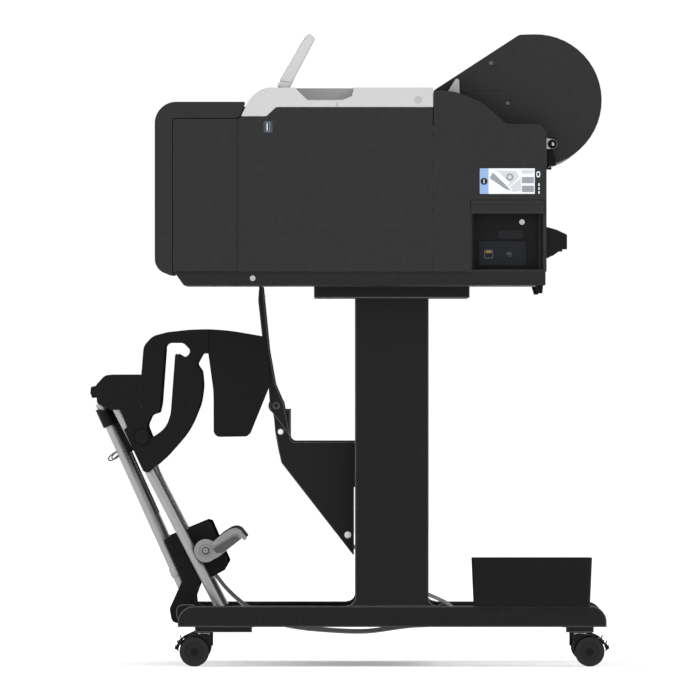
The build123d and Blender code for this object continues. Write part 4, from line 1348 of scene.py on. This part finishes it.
@dataclass
class Stacker(SubAssembly):
    """Folding stacker: tubes, brackets, heads, slotted arms and lock levers."""

    tube_x: float = 0.392
    arm_face: float = 0.4575
    front_tube: tuple[Point, Point] = ((-0.418, 0.441), (-0.2779, 0.1298))
    # painted shade: dark strips beside the front tube stand for its shaded rear side; each is (reach, top,
    # low)
    shade_strip_start: float = 0.0070
    shade_strip_half: float = 0.004
    shade_strips: tuple[tuple[float, float, float], ...] = ((0.0145, 0.408, 0.354), (0.0096, 0.356, 0.250))
    clip_height: float = 0.166
    lock: Point = (-0.241, 0.1935)
    lock_face: float = 0.4562
    grip_x: Point = (0.4530, 0.4541)
    bracket_face: float = 0.418

    coats = {"stacker_tubes": Coat.TUBE, "stacker_brackets": Coat.DARK_PLASTIC,
             "stacker_heads": Coat.DARK_PLASTIC, "stacker_arms": Coat.DARK_PLASTIC,
             "lock_lever_right": Coat.LOCK, "lock_lever_left": Coat.LOCK}

    def on_tube(self, height: float) -> Point:
        """The middle of the front tube at one height."""
        (y0, z0), (y1, z1) = self.front_tube
        share = (height - z0) / (z1 - z0)
        return y0 + (y1 - y0) * share, height

    def detail(self) -> None:
        """Adds the hook, clip, painted shade strips, beads, lever screw and ribs on both sides."""
        for hand, sign in HANDS:
            self.hook(hand, sign)
            self.tube_clip(hand, sign)
            self.tube_shade_strips(hand, sign)
            self.arm_beads(hand, sign)
            self.lever_screw(hand, sign)
            self.bracket_relief(hand, sign)

    def hook(self, hand: str, sign: int) -> None:
        """Bent wire hook on the front tube.

        Args:
            hand: which side.
            sign: 1 on the right, -1 on the left.
        """
        x = sign * self.tube_x
        line = softened([(-0.379, 0.3490), (-0.3855, 0.3540), (-0.3905, 0.3520), (-0.3985, 0.3440),
                         (-0.4045, 0.3450), (-0.4045, 0.3500), (-0.3965, 0.3565), (-0.3900, 0.3600),
                         (-0.3850, 0.3620)], 3)
        piece = rod(f"wire_hook_{hand}", [Vector((x, y, z)) for y, z in line], 0.0011, Coat.FRAME, 10)
        self.keep(piece, STACKER, "frame_black")

    def tube_clip(self, hand: str, sign: int) -> None:
        """Plastic ring low on the front tube and the plug in its end.

        Args:
            hand: which side.
            sign: 1 on the right, -1 on the left.
        """
        (y0, z0), (y1, z1) = self.front_tube
        way = Vector((0, y1 - y0, z1 - z0)).normalized()
        x = sign * self.tube_x
        ring = [(0, 0.0091), (0, 0.0102), (0.0010, 0.0107), (0.0150, 0.0107), (0.0160, 0.0102),
                (0.0160, 0.0091)]
        seat = Vector((x, *self.on_tube(self.clip_height)))
        clip = turned(f"clip_{hand}", seat, way, ring, Coat.TUBE, 32)
        plug = [(0, 0), (0, 0.0074), (0.002, 0.0074), (0.002, 0.0092), (0.005, 0.0088), (0.006, 0.0070),
                (0.006, 0)]
        end = turned(f"plug_{hand}", Vector((x, y1, z1)) - way * 0.002, way, plug, Coat.DARK_PLASTIC, 32)
        self.keep(joined(f"tube_clip_{hand}", [clip, end]), STACKER, "tube_aluminium")

    def tube_shade_strips(self, hand: str, sign: int) -> None:
        """Dark strips along the rear of the front tube that paint the shade of its shaded rear side, wider
        just below the head.

        Args:
            hand: which side.
            sign: 1 on the right, -1 on the left.
        """
        (y0, z0), (y1, z1) = self.front_tube
        size = math.hypot(y1 - y0, z1 - z0)
        out = (-(z1 - z0) / size, (y1 - y0) / size)

        def edge(height: float, off: float) -> Point:
            """A point beside the tube, at a height along it."""
            y, z = self.on_tube(height)
            return y + out[0] * off, z + out[1] * off

        middle, half = sign * self.tube_x, self.shade_strip_half
        parts = []
        for reach, top, low in self.shade_strips:
            side = [edge(top, self.shade_strip_start), edge(top, reach), edge(low, reach),
                    edge(low, self.shade_strip_start)]
            parts.append(prism(f"trim_{hand}_{top}", side, middle - half, middle + half, Coat.DARK_PLASTIC))
        self.keep(joined(f"tube_shade_strips_{hand}", parts), STACKER, "stacker_black")

    def arm_beads(self, hand: str, sign: int) -> None:
        """Raised beads that stiffen the arm, beside its slot.

        Args:
            hand: which side.
            sign: 1 on the right, -1 on the left.
        """
        x = sign * self.arm_face
        lines = ([(-0.3300, 0.4450), (-0.3290, 0.5000), (-0.3275, 0.5300), (-0.3160, 0.5480),
                  (-0.2900, 0.5540)],
                 [(-0.2720, 0.5030), (-0.2735, 0.4600), (-0.2780, 0.4300), (-0.2920, 0.3960),
                  (-0.3240, 0.3620)],
                 [(-0.3710, 0.4040), (-0.3480, 0.4260), (-0.3262, 0.4420)],
                 [(-0.3480, 0.4380), (-0.3450, 0.4880), (-0.3420, 0.5250), (-0.3300, 0.5470),
                  (-0.3060, 0.5560)])
        beads = []
        for i, line in enumerate(lines):
            path = [Vector((x, y, z)) for y, z in softened(line, 3)]
            beads.append(rod(f"bead_{hand}_{i}", path, 0.0010, Coat.DARK_PLASTIC, 8, 0.7))
        self.keep(joined(f"arm_beads_{hand}", beads), STACKER, "stacker_black")

    def lever_screw(self, hand: str, sign: int) -> None:
        """Screw and washer in the middle of the lock lever, and a darker grey piece that paints the shade in
        the hollow of its grip.

        Args:
            hand: which side.
            sign: 1 on the right, -1 on the left.
        """
        seat = Vector((sign * self.lock_face, *self.lock))
        way = Vector((sign, 0, 0))
        head = [(0, 0), (0, 0.0046), (0.0010, 0.0044), (0.0016, 0.0034), (0.0016, 0.0018), (0.0006, 0.0016),
                (0.0006, 0)]
        washer = [(-0.0004, 0), (-0.0004, 0.0060), (0.0003, 0.0058), (0.0003, 0)]
        parts = [turned(f"screw_{hand}", seat, way, head, Coat.LOCK, 28),
                 turned(f"washer_{hand}", seat, way, washer, Coat.DARK_PLASTIC, 28)]
        self.keep(joined(f"lock_screw_{hand}", parts), STACKER, "zinc_steel")
        x0, x1 = sorted(sign * x for x in self.grip_x)
        # painted shade: a darker grey piece laid in the grip's hollow
        hollow = [(-0.2240, 0.1895), (-0.2290, 0.1965), (-0.1955, 0.2168), (-0.1885, 0.2178),
                  (-0.1840, 0.2128), (-0.2130, 0.1905)]
        hollow_shade = prism(f"lock_grip_shade_{hand}", hollow, x0, x1, Coat.GRIP_SHADE_GREY, 0.0003)
        self.keep(hollow_shade, f"lock_{hand[0]}", "lever_grey")

    def bracket_relief(self, hand: str, sign: int) -> None:
        """Ribs and screw bosses on the outer face of the lower bracket.

        Args:
            hand: which side.
            sign: 1 on the right, -1 on the left.
        """
        face = sign * self.bracket_face
        x0, x1 = sorted((face - sign * 0.0005, face + sign * 0.0022))
        bars = (((-0.3030, 0.2050), (-0.2990, 0.2075), (-0.2880, 0.1870), (-0.2920, 0.1850)),
                ((-0.2890, 0.1620), (-0.2760, 0.1665), (-0.2770, 0.1700), (-0.2905, 0.1655)),
                ((-0.2730, 0.1250), (-0.2700, 0.1250), (-0.2640, 0.0960), (-0.2680, 0.0950)))
        parts = [prism(f"rib_{hand}_{i}", bar, x0, x1, Coat.DARK_PLASTIC, 0.0005)
                 for i, bar in enumerate(bars)]
        for y, z in ((-0.2520, 0.2270), (-0.2170, 0.1700)):
            boss = [(0, 0), (0, 0.0042), (0.0018, 0.0040), (0.0018, 0.0024), (0.0008, 0.0022), (0.0008, 0)]
            parts.append(turned(f"boss_{hand}_{z}", Vector((face, y, z)), Vector((sign, 0, 0)), boss,
                                Coat.DARK_PLASTIC, 24))
        self.keep(joined(f"bracket_ribs_{hand}", parts), STACKER, "stacker_black")


@dataclass
class Basket(SubAssembly):
    """Basket cloth: one woven sheet from the guide arms, under the machine and up to the stacker."""

    half_fixed: float = 0.420
    half_stacker: float = 0.401
    rows_each: float = 0.010
    columns: int = 56
    thickness: float = 0.0011
    tape_width: float = 0.022
    waist: Point = (-0.1980, -0.2275)
    path: list[Point] = field(default_factory=lambda: [
        (-0.1509, 0.6230), (-0.1514, 0.6000), (-0.1446, 0.5500), (-0.1370, 0.4850), (-0.1308, 0.4400),
        (-0.1222, 0.3920), (-0.1098, 0.3450), (-0.0600, 0.2790), (0.0080, 0.1935), (0.0650, 0.1555),
        (0.1220, 0.1220), (0.1600, 0.1060), (0.1760, 0.0960), (0.1770, 0.0800), (0.1640, 0.0675),
        (0.1300, 0.0650), (0.0980, 0.0640), (0.0400, 0.0550), (0.0109, 0.0540), (-0.0300, 0.0560),
        (-0.0900, 0.0610), (-0.1430, 0.0740), (-0.1980, 0.1150), (-0.2275, 0.1510), (-0.2595, 0.2000),
        (-0.2875, 0.2480), (-0.3185, 0.3110), (-0.3410, 0.3770)])

    def width_at(self, y: float) -> float:
        """Half the cloth's width; it narrows where it passes between the brackets."""
        share = min(max((self.waist[0] + 0.06 - y) / 0.07, 0), 1)
        return self.half_fixed + (self.half_stacker - self.half_fixed) * share

    def line(self) -> list[tuple[Point, Point, float]]:
        """The cloth's middle line.

        Returns:
            For each row its place, its normal in the side plane and the run from the start.
        """
        smooth = softened(self.path, 3)
        runs = [0.0]
        for (a, b), (c, d) in zip(smooth, smooth[1:]):
            runs.append(runs[-1] + math.hypot(c - a, d - b))
        count = round(runs[-1] / self.rows_each)
        rows = []
        at = 0
        for i in range(count + 1):
            run = runs[-1] * i / count
            while at < len(runs) - 2 and runs[at + 1] < run:
                at += 1
            share = (run - runs[at]) / (runs[at + 1] - runs[at])
            (a, b), (c, d) = smooth[at], smooth[at + 1]
            size = math.hypot(c - a, d - b)
            normal = (-(d - b) / size, (c - a) / size)
            rows.append(((a + (c - a) * share, b + (d - b) * share), normal, run))
        return rows

    @staticmethod
    def ripple(x: float, run: float, whole: float) -> float:
        """How far the cloth stands off its middle line: soft folds that die out at its rods."""
        ends = math.sin(math.pi * min(max(run / whole, 0), 1)) ** 0.5
        slow = math.sin(7.5 * x + 3.1 * run) * 0.0012
        middle = math.sin(19.0 * x - 8.0 * run + 1.3) * 0.0006
        fine = math.sin(43.0 * x + 23.0 * run + 0.6) * 0.0002
        return ends * (slow + middle + fine)

    def detail(self) -> None:
        """Makes the sheet with its hems."""
        rows = self.line()
        whole = rows[-1][2]
        points, faces, runs, tape = [], [], [], []
        wide = self.columns + 3
        for (y, z), (ny, nz), run in rows:
            half = self.width_at(y)
            inner = half - self.tape_width
            across = [-half] + [inner * (2 * k / self.columns - 1) for k in range(self.columns + 1)] + [half]
            for k, x in enumerate(across):
                off = self.ripple(x, run, whole) * (1 - (x / half) ** 6 * 0.7)
                points.append(Vector((x, y + ny * off, z + nz * off)))
                runs.append(run)
                tape.append(1.0 if k in (0, wide - 1) else 0.0)
        for i in range(len(rows) - 1):
            for k in range(wide - 1):
                faces.append((i * wide + k, i * wide + k + 1, (i + 1) * wide + k + 1, (i + 1) * wide + k))
        cloth = piece_of("basket_cloth", points, faces, Coat.CLOTH, 60)
        cloth.data.attributes.new("run", "FLOAT", "POINT").data.foreach_set("value", runs)
        cloth.data.attributes.new("tape", "FLOAT", "POINT").data.foreach_set("value", tape)
        skin = cloth.modifiers.new("cloth thickness", "SOLIDIFY")
        skin.thickness = self.thickness
        skin.offset = 0
        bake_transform(cloth)
        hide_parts("cloth_fixed", "cloth_stacker")
        hems = [self.hem("cloth_hem_top", (-0.1474, 0.6210), 0.0040, self.half_fixed, ROOT),
                self.hem("cloth_hem_front", (-0.3484, 0.3847), 0.0066, self.half_stacker, STACKER)]
        LOG.info("basket_cloth is %.3f m long", whole)

    def hem(self, name: str, rod_at: Point, radius: float, half: float, body: str) -> bpy.types.Object:
        """Sewn pocket that holds the cloth on a rod, gathered a little along it.

        Args:
            name: the pocket's name.
            rod_at: the middle of its rod, as (y, z).
            radius: the pocket's own radius.
            half: half its length.
            body: the body that it rides on.

        Returns:
            The pocket.
        """
        count = 120
        profile = [(0, radius * 0.8)]
        for i in range(count + 1):
            along = 2 * half * i / count
            gather = 0.06 * math.sin(31 * along) + 0.04 * math.sin(83 * along + 1)
            profile.append((along, radius * (1 + gather)))
        profile.append((2 * half, radius * 0.8))
        made = turned(name, Vector((-half, *rod_at)), Vector((1, 0, 0)), profile, Coat.CLOTH, 20)
        made.data.attributes.new("run", "FLOAT", "POINT").data.foreach_set(
            "value", [v.co.z + v.co.y for v in made.data.vertices])
        return self.keep(made, body, "basket_cloth")


def main() -> None:
    """Builds the studio and each sub-assembly in order."""
    logging.basicConfig(level=logging.INFO, format="%(message)s")
    Studio().build()
    groups: Iterable[Callable[[], SubAssembly]] = (
        Stand, Casters, Housing, LoadingLabel, ControlPanel, RollUnit, Mechanism, Stacker, Basket)
    for group in groups:
        group().build()


if __name__ == "__main__":
    main()
